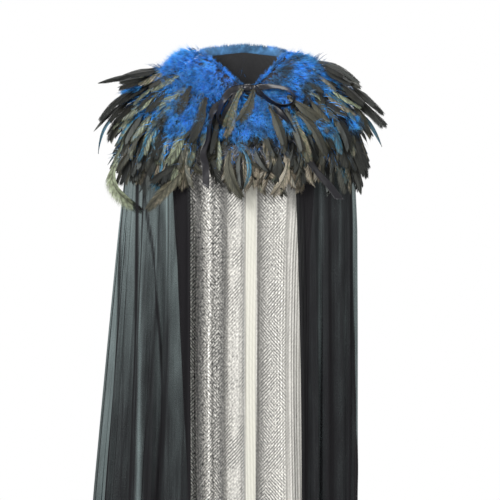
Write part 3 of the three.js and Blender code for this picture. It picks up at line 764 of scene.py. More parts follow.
def tulle_material(colour, passes):
    """Sheer tulle: each layer lets a share of the light pass, and gathered places hold several layers."""
    material, tree, shader = new_material("sheer_tulle", roughness=0.8, specular_ior_level=0.12)
    shader.inputs["Base Color"].default_value = (*colour, 1)
    place = uv_coordinates(tree)
    cloudy = noise_level(tree, place, 3, (34, 9, 1), 0.86, 1.16)
    streaks = noise_level(tree, place, 2, (420, 6, 1), 0.88, 1.12)
    threads = noise_level(tree, place, 3, (420, 420, 1), 0.78, 1.22)
    layers = times(tree, attribute(tree, "layers"), times(tree, cloudy, streaks, threads))
    passed = calculate(tree, "POWER", passes, layers)
    clear = put(tree, "ShaderNodeBsdfTransparent", {"Color": (0.90, 1.0, 1.0, 1)})
    blend_surface(tree, passed, shader, clear)
    return material


def net_lines(tree, place, period, width, slope):
    """Threads that run one way across a place in metres: 1 on a thread and 0 between."""
    across = (slope[0] / period, slope[1] / period, 0)
    counted = put(tree, "ShaderNodeVectorMath", {0: place, 1: across}, operation="DOT_PRODUCT")
    part = calculate(tree, "FRACT", counted.outputs["Value"])
    gap = calculate(tree, "ABSOLUTE", calculate(tree, "SUBTRACT", part, 0.5))
    edge = 0.5 - width / 2
    return remap(tree, gap, edge - NET["soft"], edge + NET["soft"])


def net_material(colour, thread_colour):
    """Pale cloth under a dark net, whose threads and painted light and shade change from fold to fold."""
    material, tree, shader = new_material(
        "pale_net", roughness=0.85, sheen_weight=0.1, specular_ior_level=0.2
    )
    apart = put(tree, "ShaderNodeSeparateXYZ", {0: object_coordinates(tree)}).outputs
    facing = put(tree, "ShaderNodeCombineXYZ", {0: apart["X"], 1: apart["Z"]}).outputs[0]
    inputs = {"Vector": facing, "Scale": 60.0, "Detail": 2.0}
    wander = put(tree, "ShaderNodeTexNoise", inputs).outputs["Color"]
    inputs = {0: wander, "Scale": NET["wander"]}
    wander = put(tree, "ShaderNodeVectorMath", inputs, operation="SCALE").outputs[0]
    place = put(tree, "ShaderNodeVectorMath", {0: facing, 1: wander}, operation="ADD").outputs[0]
    swap = noise(tree, place, 1.0, 2, stretch=(30, 9, 1))
    ways = []
    directions = (("rising", -NET["slope"], 1.0, 0.3), ("falling", NET["slope"], 0.3, 1.0))
    for name, slope, first, last in directions:
        lines = net_lines(tree, place, NET["period"], NET["width"], (1.0, slope))
        ways.append(times(tree, lines, attribute(tree, name), remap(tree, swap, 0.44, 0.56, first, last)))
    threads = calculate(tree, "MAXIMUM", *ways)
    streaks = noise_level(tree, place, 2, (600, 5, 1), 0.92, 1.06)
    blots = noise_level(tree, place, 3, (60, 18, 1), 0.93, 1.05)
    specks = calculate(tree, "SUBTRACT", noise(tree, place, 1.0, 2, stretch=(230, 170, 1)), 0.5)
    specks = times(tree, specks, times(tree, attribute(tree, "rough"), 4.6))
    # The light attribute is painted light and shade of the folds, multiplied into the cloth's colour
    light = times(tree, attribute(tree, "light"), streaks, blots, calculate(tree, "ADD", specks, 1.0))
    shown = calculate(tree, "MULTIPLY", threads, 0.95, clamp=True)
    shade = blend_colours(tree, shown, shaded(tree, colour, light), thread_colour)
    tree.links.new(shade, shader.inputs["Base Color"])
    tree.links.new(bump(tree, threads, 0.3, 0.0004), shader.inputs["Normal"])
    return material


def cotton_material(colour):
    material, tree, shader = new_material("cream_cotton", roughness=0.9, specular_ior_level=0.2)
    place = uv_coordinates(tree)
    warp = noise(tree, place, 1.0, 2, stretch=(2400, 60, 1))
    weft = noise(tree, place, 1.0, 2, stretch=(60, 2400, 1))
    weave = calculate(tree, "ADD", warp, weft)
    slubs = times(tree, net_lines(tree, place, 0.012, 0.2, (0.9, -0.6)), 0.05)
    worn = calculate(tree, "SUBTRACT", remap(tree, weave, 0.7, 1.3, 0.93, 1.04), slubs)
    tree.links.new(shaded(tree, colour, worn), shader.inputs["Base Color"])
    tree.links.new(bump(tree, weave, 0.2, 0.0002), shader.inputs["Normal"])
    return material


def stage_material(colour):
    material, _, shader = new_material("plain_floor", roughness=0.9)
    shader.inputs["Base Color"].default_value = (*colour, 1)
    return material


# Feathers


def spread_faces(template, count, step):
    """The same faces repeated for each of count pieces, whose points are step apart."""
    return (template[None] + (np.arange(count) * step)[:, None, None]).reshape(-1, template.shape[1])


def barb_batch(base, along, across, normal, pitch, reach_length, angle, droop, hook):
    """Barbs as tapering strips of five points. All arguments are arrays over the barbs."""
    forward = along * np.cos(angle)[..., None] + across * np.sin(angle)[..., None]
    forward = unit(forward - normal * droop[..., None])
    middle = base + forward * (reach_length * BARB_REACH[2])[..., None]
    end = base + forward * reach_length[..., None] + along * (reach_length * hook)[..., None]
    end = end - normal * (reach_length * droop * 0.35)[..., None]
    half = along * (pitch / 2)[..., None]
    taper = half * BARB_TAPER
    return np.stack([base - half, base + half, middle - taper, middle + taper, end], axis=-2)


class FeatherMesh:
    """The mesh of many feathers. Each has a path of points with its outward normals, a width and a look."""

    def __init__(self, feathers, rng, streaky):
        self.feathers = feathers
        self.rng = rng
        self.streaky = streaky
        self.path = feathers["path"]
        self.count, self.stations = self.path.shape[:2]
        self.tangent = unit(np.gradient(self.path, axis=1))
        flat = unit(np.cross(self.tangent, feathers["out"]))
        above = unit(np.cross(flat, self.tangent))
        roll = feathers["roll"][:, None, None]
        self.across = flat * np.cos(roll) + above * np.sin(roll)
        self.normal = above * np.cos(roll) - flat * np.sin(roll)
        self.length = np.linalg.norm(np.diff(self.path, axis=1), axis=-1).sum(1)[:, None]
        self.bands = rng.uniform(45, 95, (self.count, 1))
        self.shift = rng.uniform(0, TURN, (self.count, 1))
        self.points, self.faces = [], []
        self.looks = {"tone": [], "streak_and_highlight": [], "along": [], "reach": [], "down": []}
        self.made_points = 0

    def at_places(self, values, places):
        """The values of the stations, at places along each feather."""
        low = np.clip((places * (self.stations - 1)).astype(int), 0, self.stations - 2)
        part = places * (self.stations - 1) - low
        rows = np.arange(self.count)[:, None]
        return mix(values[rows, low], values[rows, low + 1], part[..., None])

    def add(self, points, template, pieces, looks):
        """Adds like pieces of the feathers, with one template of faces and the looks of their points."""
        size = len(points) // pieces
        self.points.append(points)
        self.faces.append(spread_faces(template, pieces, size) + self.made_points)
        self.made_points += len(points)
        for key, values in looks.items():
            self.looks[key].append(values.ravel())

    def add_barbs(self, places, side, half_width, angle, droop, hook, blue, pitch_share):
        """Barbs at places along the feathers, as long as the vane's half width asks for at their angle."""
        base = self.at_places(self.path, places)
        along = unit(self.at_places(self.tangent, places))
        across = unit(self.at_places(self.across, places)) * side
        normal = unit(self.at_places(self.normal, places))
        pitch = pitch_share * self.length * np.ones(places.shape)
        reach_length = np.maximum(half_width / np.maximum(np.sin(angle), 0.25), SHORTEST_BARB)
        made = barb_batch(base, along, across, normal, pitch, reach_length, angle, droop, hook)
        tones = np.broadcast_to(self.feathers["tone"][:, None], places.shape)
        # Streaks along the barbs, which the material turns partly into painted highlights
        streaks = 0.5 + 0.5 * np.sin(places * self.bands + self.shift + side * 1.9)
        streaks = mix(0.5, mix(streaks, self.rng.random(places.shape), 0.60), self.streaky)
        self.add(made.reshape(-1, 3), BARB_FACES, places.size, {
            "tone": np.repeat(tones, BARB_POINTS), "streak_and_highlight": np.repeat(streaks, BARB_POINTS),
            "along": np.repeat(places, BARB_POINTS), "reach": np.tile(BARB_REACH, places.size),
            "down": np.repeat(blue, BARB_POINTS),
        })

    def add_vane(self, side, barbs):
        """The flat vane at one side of the shaft, which narrows to the tip and splits here and there."""
        rng, shape = self.rng, (self.count, 1)
        down_end = self.feathers["down_end"][:, None]
        first = down_end * VANE["starts"]
        places = first + (VANE["ends"] - first) * np.linspace(0, 1, barbs)[None, :] + np.zeros(shape)
        part = (places - down_end) / (1 - down_end)
        beyond = np.clip(part - VANE["full_until"], 0, 1) / (1 - VANE["full_until"])
        body = np.clip(part / VANE["narrow_until"], VANE["narrowest"], 1)
        body = body * np.clip(1 - beyond ** VANE["taper"], 0, 1) ** self.feathers["point"][:, None]
        wave = np.sin(places * rng.uniform(18, 34, shape) + rng.uniform(0, TURN, shape))
        split = 0.05 * wave + rng.normal(0, 0.020, places.shape)
        angle = mix(VANE_BARB["root_angle"], VANE_BARB["tip_angle"], np.clip(part, 0, 1))
        angle = angle + split * self.feathers["splay"][:, None]
        half = self.feathers["width"][:, None] / 2 * body * (1 + rng.normal(0, 0.035, places.shape))
        blue = np.clip((0.06 - part) / 0.18, 0, 1) * (0.6 + 0.4 * rng.random(places.shape))
        blue = blue * self.feathers["blue"][:, None]
        droop = np.full(places.shape, VANE_BARB["droop"])
        pitch_share = BARB_OVERLAP * (1 - first) / barbs
        self.add_barbs(places, side, half, angle, droop, VANE_BARB["hook"], blue, pitch_share)

    def add_down(self, side):
        """The loose down at one side of the feathers' roots."""
        rng, down_end = self.rng, self.feathers["down_end"][:, None]
        even = np.linspace(0.04, 1.06, DOWN_BARBS)[None, :]
        places = down_end * even + rng.normal(0, 0.006, (self.count, DOWN_BARBS))
        places = np.clip(places, 0.01, 0.98)
        half = self.feathers["width"][:, None] * rng.uniform(0.45, 0.95, places.shape)
        half = half * np.minimum(down_end / 0.2, 1)
        angle = rng.uniform(0.55, 1.15, places.shape)
        droop = rng.normal(-0.05, 0.28, places.shape)
        blue = np.clip(1.25 - 0.35 * places / down_end, 0, 1) * self.feathers["blue"][:, None]
        pitch_share = np.full((self.count, 1), DOWN_BARB["width_share"])
        self.add_barbs(places, side, half, angle, droop, DOWN_BARB["hook"], blue, pitch_share)

    def add_shafts(self):
        """The shafts: a narrow roof of three points at each station."""
        count, stations = self.count, self.stations
        share = np.linspace(0, 1, stations)
        thick = mix(SHAFT["root"], SHAFT["tip"], share)[None, :, None]
        ridge = self.path + self.normal * thick * SHAFT["ridge"]
        made = np.stack([self.path - self.across * thick, ridge, self.path + self.across * thick], axis=2)
        k = np.arange(stations - 1)[:, None] * 3
        template = np.concatenate([k + [[0, 1, 4]], k + [[0, 4, 3]], k + [[1, 2, 5]], k + [[1, 5, 4]]])
        size = stations * 3
        down = np.clip(0.6 - share * 1.6, 0, 1)[None, :, None] * self.feathers["blue"][:, None, None]
        self.add(made.reshape(-1, 3), template, count, {
            "tone": np.repeat(self.feathers["tone"] * 0.4 + 0.1, size), "streak_and_highlight": np.full(count * size, 0.55),
            "along": np.tile(np.repeat(share, 3), count), "reach": np.zeros(count * size),
            "down": down * np.ones(3),
        })


def feather_object(name, feathers, rng, barbs=BARBS, streaky=1.0):
    """One mesh object for many feathers."""
    mesh = FeatherMesh(feathers, rng, streaky)
    for side in (-1, 1):
        mesh.add_vane(side, barbs)
        mesh.add_down(side)
    mesh.add_shafts()
    looks = {key: np.concatenate(values) for key, values in mesh.looks.items()}
    return mesh_object(name, np.concatenate(mesh.points), np.concatenate(mesh.faces), looks, smooth=False)


def row_tones(direction, narrow, index, rng):
    """The tones of a row's feathers, by chance and by where round the cape they hang."""
    count = len(direction)
    facing = np.cos(direction)
    tone = rng.choice(list(ROW_TONES), count, p=list(ROW_TONES.values()))
    tone = np.clip(tone + rng.normal(0, 0.03, count), 0, 1)
    tone = np.where(narrow, rng.choice(NARROW["tones"], count), tone)
    pale = (facing > 0.75) & (rng.random(count) < PALE["share"]) & (index >= PALE["first_row"])
    tone = np.where(pale, PALE["tone"], tone)
    left = (np.sin(direction) < -0.45) & (facing > 0)
    olive = left & (rng.random(count) < OLIVE["share"]) & (index <= OLIVE["last_row"])
    return np.where(olive, rng.uniform(*OLIVE["tones"], count), tone)


def row_feathers(row, index, rng):
    """The feathers of one row of trim, laid down the draped form from the row's seam."""
    count = row["count"]
    u = even_places(count, row["at"])
    direction = yoke_direction(np.clip(u + rng.normal(0, 0.0035, count), 0.01, 0.99), row["at"])
    root_share = row["at"] + rng.uniform(-0.025, 0.02, count)
    narrow = rng.random(count) < NARROW["share"]
    length = row["length"] * rng.uniform(row["shortest"], 1.07, count)
    length = length * np.where(narrow, NARROW["length"], 1)
    width = row["width"] * rng.uniform(0.80, 1.25, count)
    width = width * np.where(narrow, NARROW["width"], 1)
    share = np.linspace(0, 1, PATH_STATIONS)[None, :]
    distance = length[:, None] * share
    shares = shares_below(direction, root_share, distance)
    radius = np.linalg.norm(drape_points(direction, root_share)[:, :2], axis=-1)
    parted = np.exp(-u / 0.03) - 0.4 * np.exp(-(1 - u) / 0.02)
    sweep = (rng.normal(0, 0.010, count) + 0.018 * parted * (index > 1))[:, None] * share
    bow = rng.normal(0, 0.007, count)[:, None] * np.sin(share * math.pi * 0.9)
    hooked = rng.choice([-1, 1], count) * rng.uniform(0.004, 0.013, count)
    hook = np.where(narrow, hooked, rng.normal(0, 0.004, count))
    turned = direction[:, None] + (sweep + bow + hook[:, None] * share**3) / radius[:, None]
    layer = rng.uniform(-0.0006, 0.0060, count)[:, None]
    sides = (np.abs(np.sin(direction)) ** 4)[:, None]
    curl = (rng.uniform(-0.004, 0.009, count) + np.where(narrow, NARROW["curl"], 0))[:, None]
    flare = mix(1.0, row["flare"], sides)
    lifted = row["lifted"] * np.sin(direction)[:, None] ** 2 * share**0.5
    lift = feather_lift(turned, distance) * rng.uniform(0.75, 1.0, count)[:, None] * flare + layer + lifted
    lift = lift + curl * share**2.5 * (1 - 0.8 * sides)
    _, _, normal = drape_frame(turned, shares)
    tone = row_tones(direction, narrow, index, rng)
    return {
        "path": drape_points(turned, shares) + normal * lift[..., None],
        "out": normal,
        "width": width,
        "tone": tone,
        "blue": np.where(rng.random(count) < row["blue"], 1.0, rng.uniform(0, 0.25, count)),
        "roll": rng.normal(0, 0.22, count),
        "down_end": rng.uniform(0.24, 0.36, count),
        "point": rng.choice(list(POINTEDNESS), count, p=list(POINTEDNESS.values())),
        "splay": rng.uniform(0.3, 1.3, count),
    }


def single_path(feather, share):
    """A smooth path through a single feather's three places, which stand off the draped form."""
    over = feather["over"]
    raised = {"root": over, "middle": max(over, 0.7) + 0.1, "tip": 1.0}
    forward = {"root": 0, "middle": 0.5, "tip": 1}
    corners = []
    for key in raised:
        across, height = (value / 1000 for value in feather[key])
        direction, place = front_place(across, height)
        outward = drape_frame(direction, place)[2]
        depth = (drape_points(direction, place) + outward * feather["lift"] / 1000 * raised[key])[1]
        if feather["depth"] is not None and key != "root":
            depth = mix(corners[0][1], feather["depth"] / 1000, forward[key])
        corners.append(np.array([across, depth, height]))
    root, middle, tip = corners
    bend = middle * 2 - (root + tip) / 2
    return root * (1 - share) ** 2 + bend * 2 * share * (1 - share) + tip * share**2


def single_feathers(rng):
    """The feathers of SINGLE_FEATHERS. Those that lie over the drape show no down at their root."""
    share = np.linspace(0, 1, PATH_STATIONS)[:, None]
    paths = np.array([single_path(feather, share) for feather in SINGLE_FEATHERS])
    outward = unit(paths[:, 0] * [0.8, 0, 0] + [0, -0.60, 0.40])
    column = {}
    for key in ("over", "width", "tone"):
        column[key] = np.array([feather[key] for feather in SINGLE_FEATHERS])
    count = len(paths)
    return {
        "path": paths,
        "out": np.broadcast_to(outward[:, None], paths.shape),
        "width": column["width"] / 1000,
        "tone": column["tone"],
        "blue": np.where(column["over"] > 0.5, 0.0, 0.2),
        "roll": rng.normal(0, 0.12, count),
        "down_end": np.where(column["over"] > 0.5, 0.05, 0.16),
        "point": np.where(column["width"] < 16, 0.9, 0.55),
        "splay": rng.uniform(0.1, 0.4, count),
    }


# Down, made with Geometry Nodes


def tuft_object(rng):
    """A tuft of curved fibres that grows along +Z, about one unit tall, to be scaled as it is repeated."""
    turn = rng.uniform(0, TURN, TUFT_FIBRES)
    lean = rng.uniform(0.1, 0.75, TUFT_FIBRES)
    length = rng.uniform(0.7, 1.1, TUFT_FIBRES)
    outward = np.stack([np.cos(turn), np.sin(turn), np.zeros(TUFT_FIBRES)], -1)
    up = np.array([0, 0, 1.0])
    side = np.stack([-np.sin(turn), np.cos(turn), np.zeros(TUFT_FIBRES)], -1) * 0.020
    points = []
    for place, bend in ((0.0, 0.0), (0.5, 0.35), (1.0, 1.0)):
        middle = (up * place + outward * (lean * (0.25 * place + 0.55 * bend))[:, None]) * length[:, None]
        points += [middle - side * (1.05 - place), middle + side * (1.05 - place)]
    points = np.stack(points, axis=1).reshape(-1, 3)
    faces = spread_faces(np.array([[0, 1, 3, 2], [2, 3, 5, 4]]), TUFT_FIBRES, 6)
    reach = np.tile([0, 0, 0.5, 0.5, 1, 1], TUFT_FIBRES)
    return mesh_object("tuft", points, faces, {"reach": reach}, smooth=False)


def shown_output(random_value):
    """The output of a random value node that fits its data type."""
    return [socket for socket in random_value.outputs if socket.enabled][0]


def tuft_tree():
    """Scatters tufts over a surface, along its flow, denser where its fluff is high."""
    tree = bpy.data.node_groups.new("down_tufts", "GeometryNodeTree")
    sockets = (
        ("Geometry", "NodeSocketGeometry"),
        ("Tuft", "NodeSocketObject"),
        ("Density", "NodeSocketFloat"),
        ("Smallest", "NodeSocketFloat"),
        ("Largest", "NodeSocketFloat"),
        ("Spread", "NodeSocketFloat"),
        ("Seed", "NodeSocketInt"),
        ("Material", "NodeSocketMaterial"),
    )
    for name, kind in sockets:
        tree.interface.new_socket(name, in_out="INPUT", socket_type=kind)
    tree.interface.new_socket("Geometry", in_out="OUTPUT", socket_type="NodeSocketGeometry")
    given = tree.nodes.new("NodeGroupInput").outputs

    def named(name, kind):
        found = put(tree, "GeometryNodeInputNamedAttribute", {"Name": name}, data_type=kind)
        return found.outputs["Attribute"]

    density = times(tree, given["Density"], named("fluff", "FLOAT"))
    inputs = {"Mesh": given["Geometry"], "Density": density, "Seed": given["Seed"]}
    spots = put(tree, "GeometryNodeDistributePointsOnFaces", inputs).outputs["Points"]
    flow = {"Vector": named("flow", "FLOAT_VECTOR")}
    along = put(tree, "FunctionNodeAlignRotationToVector", flow, axis="Z").outputs[0]
    lowest = times(tree, given["Spread"], -1.0)
    turn = put(tree, "FunctionNodeRandomValue", {"Seed": given["Seed"]}, data_type="FLOAT_VECTOR")
    for name, source in (("Min", lowest), ("Max", given["Spread"])):
        tree.links.new(source, turn.inputs[name])
    euler = put(tree, "FunctionNodeEulerToRotation", {"Euler": turn.outputs["Value"]}).outputs[0]
    inputs = {"Rotation": along, "Rotate By": euler}
    turned = put(tree, "FunctionNodeRotateRotation", inputs, rotation_space="LOCAL").outputs[0]
    size = put(tree, "FunctionNodeRandomValue", {"Seed": 7}, data_type="FLOAT")
    for socket in size.inputs:
        if socket.enabled and socket.name in ("Min", "Max"):
            tree.links.new(given["Smallest" if socket.name == "Min" else "Largest"], socket)
    picked = put(tree, "GeometryNodeObjectInfo", {"Object": given["Tuft"], "As Instance": True})
    tuft = picked.outputs["Geometry"]
    inputs = {"Points": spots, "Instance": tuft, "Rotation": turned, "Scale": shown_output(size)}
    placed = put(tree, "GeometryNodeInstanceOnPoints", inputs).outputs[0]
    tone = put(tree, "FunctionNodeRandomValue", {"Seed": 3}, data_type="FLOAT")
    inputs = {"Geometry": placed, "Name": "tone"}
    toned = put(tree, "GeometryNodeStoreNamedAttribute", inputs, data_type="FLOAT", domain="INSTANCE")
    tree.links.new(shown_output(tone), toned.inputs["Value"])
    real = put(tree, "GeometryNodeRealizeInstances", {"Geometry": toned.outputs[0]}).outputs[0]
    inputs = {"Geometry": real, "Material": given["Material"]}
    painted = put(tree, "GeometryNodeSetMaterial", inputs).outputs[0]
    result = tree.nodes.new("NodeGroupOutput")
    tree.links.new(painted, result.inputs[0])
    return tree


def grow_down(name, ground, tuft, values, material):
    """Runs the tuft tree on a ground surface and returns its result as a plain mesh object."""
    tree = bpy.data.node_groups.get("down_tufts") or tuft_tree()
    modifier = ground.modifiers.new("Down", "NODES")
    modifier.node_group = tree
    named = {item.name: item.identifier for item in tree.interface.items_tree if item.in_out == "INPUT"}
    for key, value in {"Tuft": tuft, "Material": material, **values}.items():
        modifier[named[key]] = value
    depsgraph = bpy.context.evaluated_depsgraph_get()
    mesh = bpy.data.meshes.new_from_object(ground.evaluated_get(depsgraph))
    mesh.name = name
    made = bpy.data.objects.new(name, mesh)
    bpy.context.scene.collection.objects.link(made)
    ground.modifiers.clear()
    bpy.data.objects.remove(ground)
    return made


def ground_object(name, direction, share, lift, fluff, outward):
    """A surface over the draped form on which down grows, with the way it lies and how thick it is."""
    points = drape_points(direction, share)
    _, down, normal = drape_frame(direction, share)
    points = points + normal * lift[..., None]
    flow = unit(down + normal * outward)
    attributes = {"flow": flow.reshape(-1, 3), "fluff": fluff.ravel()}
    return mesh_object(name, points, grid_faces(*direction.shape), attributes)


def join_objects(name, parts):
    """Joins objects with the same attributes into the first of them."""
    bpy.ops.object.select_all(action="DESELECT")
    for part in parts:
        part.select_set(True)
    bpy.context.view_layer.objects.active = parts[0]
    bpy.ops.object.join()
    parts[0].name = name
    return parts[0]


def lumpy(direction, share, seed):
    """A smooth uneven field from 0 to 1 over the draped form."""
    waves = (
        np.sin(direction * 9 + seed) * np.sin(share * 23 + seed * 2)
        + 0.7 * np.sin(direction * 17 + seed * 3 + share * 9)
        + 0.5 * np.sin(direction * 31 + seed * 5) * np.sin(share * 41 + seed)
    )
    return np.clip(0.5 + waves / 3.2, 0, 1)


def row_ground(row, index):
    """The surface at a row's roots on which its down grows, taller and fluffier for the topmost row."""
    columns, rows = 200, 10
    reach = 0.26 if index == 0 else 0.12
    top = 0.008 if index == 0 else row["at"] - 0.02
    share = np.linspace(top, row["at"] + reach, rows)[None, :] + np.zeros((columns, 1))
    u = np.linspace(0.004, 0.996, columns)[:, None]
    direction = yoke_direction(u, share)
    depth = (share - top) / (row["at"] + reach - top)
    fluff = np.clip(lumpy(direction, share, index * 1.9) * 2.2 - 0.9, 0, 1) * mix(1.0, 0.4, depth)
    if index == 0:
        fluff = mix(0.7, 1.0, lumpy(direction, share, 0.3)) * mix(1.0, 0.8, depth)
    lift = 0.0025 + 0.012 * depth
    if index == 0:
        lift = lift + 0.011 * np.sin(direction) ** 2 * np.sin(math.pi * depth)
    lift = lift + 0.005 * np.clip(-np.cos(direction) * 3, 0, 1)
    return ground_object(f"ground_{index}", direction, share, lift, fluff, 0.45)


def patch_grounds():
    """Small round surfaces above the feathers where the down breaks through, with more round the back."""
    places = []
    for patch in DOWN_PATCHES:
        direction, share = front_place(patch["at"][0] / 1000, patch["at"][1] / 1000)
        places.append((direction, share, patch["radius"] / 1000, patch["raised"] / 1000))
    for i in range(BACK_PATCHES):
        direction = math.radians(BACK["from"] + BACK["across"] * i / (BACK_PATCHES - 1))
        places.append((direction, 0.45 + 0.30 * math.sin(i * 2.3), 0.014 + 0.010 * (i * 0.37 % 1), 0.002))
    grounds = []
    rings, spokes = 5, 17
    for k, (direction, share, radius, raised) in enumerate(places):
        centre = drape_points(direction, share)
        around = np.linspace(0, TURN, spokes)[:, None]
        outer = np.linspace(0.05, 1, rings)[None, :] * radius * (1 + 0.25 * np.sin(around * 3 + k))
        length = np.linalg.norm(drape_points(direction, share + 0.5) - drape_points(direction, share)) / 0.5
        turned = direction + outer * np.cos(around) / np.linalg.norm(centre[:2])
        shares = np.clip(share + outer * np.sin(around) / length, 0.01, 1.3)
        lift = feather_lift(turned, PATCH_OVER) + 0.003 + raised - outer * 0.25
        fluff = 1.25 - outer / radius / 1.4
        grounds.append(ground_object(f"patch_{k}", turned, shares, lift, fluff, 0.55))
    return join_objects("patches", grounds)


def band_ground(swirl):
    """The skin of the neck band's roll, a little inside the CAD roll's outline, on which its down swirls."""
    columns, sides = 240, 13
    u = np.linspace(0.004, 0.996, columns)
    centre = drape_points(yoke_direction(u, 0), 0)
    level = unit(centre * [1, 1, 0])
    angle = np.linspace(-1.5, math.pi + 1.5, sides)
    inner = (angle > math.pi)[None, :, None]
    cosine, sine = np.cos(angle)[None, :, None], np.sin(angle)[None, :, None]
    out = level[:, None] * np.where(inner, signed_power(cosine, 0.45), cosine)
    rise = np.array([0, 0, 1.0]) * np.where(inner, sine * 1.9, sine)
    sideways = np.abs(np.sin(yoke_direction(u, 0)))[:, None, None] ** 6
    front = np.clip(np.cos(yoke_direction(u, 0)), 0, 1)[:, None, None] ** 0.7
    up = mix(mix(0.0090, 0.0050, sideways), 0.0018, front) * np.array([0, 0, 1.0])
    tall = mix(mix(0.0062, 0.0052, sideways), 0.0035, front)
    points = centre[:, None] + level[:, None] * 0.0012 + up + out * mix(0.0045, 0.0028, front) + rise * tall
    along = np.gradient(centre, axis=0)[:, None]
    wind = unit(along) * (0.6 * np.sin(u * 160 + 2 * np.sin(u * 37)))[:, None, None]
    flow = unit(out * np.where(cosine < 0, 0.1, 1.0) + np.abs(rise) + wind * swirl)
    fluff = np.clip(np.sin(angle) + np.where(np.cos(angle) > 0, 0.65, -0.35), 0, 1)
    attributes = {"flow": flow.reshape(-1, 3), "fluff": np.tile(fluff, columns)}
    return mesh_object("band_ground", points, grid_faces(columns, sides), attributes)


# Cloth


def skirt_panel(name, columns_per_fold, rows):
    """A gathered panel's directions, heights and how far it stands out, as grids of columns by rows."""
    panel = SKIRT_PANELS[name]
    count = panel["folds"] * columns_per_fold
    even = np.linspace(0, 1, count + 1)[:, None]
    z = np.linspace(CLOTH_TOP, HEM_Z, rows)[None, :]
    fold = even * panel["folds"] * TURN
    wander = np.sin(even * panel["folds"] * UNEVEN_FOLDS["drift_rate"] + panel["seed"])
    drift = UNEVEN_FOLDS["drift"] / panel["folds"] * wander * np.sin(math.pi * even)
    uneven = np.sin(even * panel["folds"] * UNEVEN_FOLDS["depth_rate"] + panel["seed"] * 2)
    depth_share = 1 - UNEVEN_FOLDS["depth"] * (1 - uneven)
    higher = 1 - np.clip((YOKE_EDGE - z) / FRONT_EDGE["until"], 0, 1)
    right_edge = direction_at(FRONT_EDGE["right"] - FRONT_EDGE["slants"] * higher**2, z)
    ends = {
        "right_front": (right_edge, SIDE_SEAM - SEAM_GAP),
        "back": (SIDE_SEAM + SEAM_GAP, TURN - SIDE_SEAM - SEAM_GAP),
        "left_front": (TURN - SIDE_SEAM + SEAM_GAP, direction_at(FRONT_EDGE["left"], z) + TURN),
    }[name]
    place = even + drift
    direction = mix(ends[0], ends[1], place) + 0 * z
    heights = np.array(SKIRT_LEVELS["z"])[::-1]
    depth = np.interp(z, heights, SKIRT_LEVELS["depth"][::-1])
    out = np.interp(z, heights, SKIRT_LEVELS["out"][::-1])
    grown = ease((YOKE_EDGE - z) / 0.25)
    fine = 0.0012 * np.sin(fold * 3.0 + 2.3 * np.sin(fold * 0.37 + z * 2.0)) * grown
    flatter = 1 - 0.75 * np.sin(direction) ** 8 * ease((YOKE_EDGE - z) / 0.1)
    quieter = 0.75 if name != "back" else 1.0
    stand = out + (depth * depth_share * np.cos(fold) * quieter + fine) * flatter + depth * (1 - flatter)
    slope = np.abs(np.gradient(stand, axis=0)) / np.abs(np.gradient(even, axis=0))
    return direction, z + 0 * direction, stand, slope / (0.9 * panel["folds"] / 14)


def along_three(values, part):
    """A smooth curve through three values, at parts 0, a half and 1."""
    first, middle, last = values
    return first + part * (4 * middle - 3 * first - last) + part**2 * 2 * (first + last - 2 * middle)


def creases_at(across, z, creases):
    """The extra layers and the raised height that creases give at places across, in millimetres."""
    layers = np.zeros(across.shape)
    raised = np.zeros(across.shape)
    part = np.clip(crease_part(z), -0.35, 1.45)
    inside = np.clip(part, 0, 1)
    for crease in creases:
        wide = mix(*crease["wide"], inside)
        power = 4 if max(crease["wide"]) > 7 else 2
        shape = np.exp(-(np.abs((across - along_three(crease["at"], part)) / wide) ** power))
        layers += mix(*crease["layers"], inside) * shape
        raised += crease["raised"] / 1000 * shape
    return layers, raised


def back_creases(rng):
    """Creases for the back panel, at directions in degrees instead of places across."""
    creases = []
    for k in range(BACK_CREASES):
        place = BACK["from"] + BACK["across"] * (k + rng.uniform(0.1, 0.9)) / BACK_CREASES
        strong = rng.random() < 0.25
        drift = rng.normal(0, 1.2, 2)
        layers = rng.uniform(1.2, 2.2) if strong else rng.uniform(0.3, 0.8)
        creases.append({
            "at": (place, place + drift[0], place + drift[1]), "wide": (0.35, rng.uniform(0.4, 0.8)),
            "layers": (layers, layers * 0.8), "raised": rng.uniform(0.5, 2.0),
        })
    return creases


def crease_part(z):
    """How far down a height is between the two heights at which the creases are given."""
    top, low = CREASE_HEIGHTS
    return (top - z) / (top - low)


def build_skirt_panel(name, rng):
    """A panel's points, and how many layers of cloth lie in it at each."""
    grid = PANEL_GRID["back" if name == "back" else "front"]
    direction, z, stand, slope = skirt_panel(name, grid, PANEL_GRID["rows"])
    flat = ring_points(direction, z)
    across = flat[..., 0] * 1000
    if name == "back":
        extra, raised = creases_at(np.degrees(direction), z, back_creases(rng))
        sides = np.sin(direction) ** 8
        layers = mix(1.0, 0.75, sides) + extra * mix(1, 0.25, sides)
    else:
        front = FRONT_LAYERS[name]
        part = np.clip(crease_part(z), 0, 1)
        extra, raised = creases_at(across, z, LEFT_CREASES if name == "left_front" else RIGHT_CREASES)
        layers = mix(*front["layers"], part)
        beyond = (across - along_three(front["thins_at"], part)) * front["side"]
        layers = mix(layers, mix(*front["thin"], part), ease(beyond / 2.5)) + extra
    grown = ease((YOKE_EDGE - z) / 0.20)
    wider = 0.004 * np.clip(np.sin(direction), 0, 1) ** 6 * grown
    wider = wider + 0.008 * np.clip(-np.sin(direction), 0, 1) ** 6 * np.clip((YOKE_EDGE - z) / 0.75, 0, 1)
    points = hung_points(direction, z, stand + raised * grown + wider)
    hem = np.exp(-(((z - HEM_Z) / 0.012) ** 2))
    ends = np.exp(-np.minimum(np.arange(len(direction)), np.arange(len(direction))[::-1])[:, None] / 1.5)
    seam = ends * (np.abs(np.sin(direction)) > 0.9) * 1.2
    layers = np.maximum(layers, 0.15) + hem + seam + np.clip(slope, 0, 1.5) * 0.12
    return points, layers


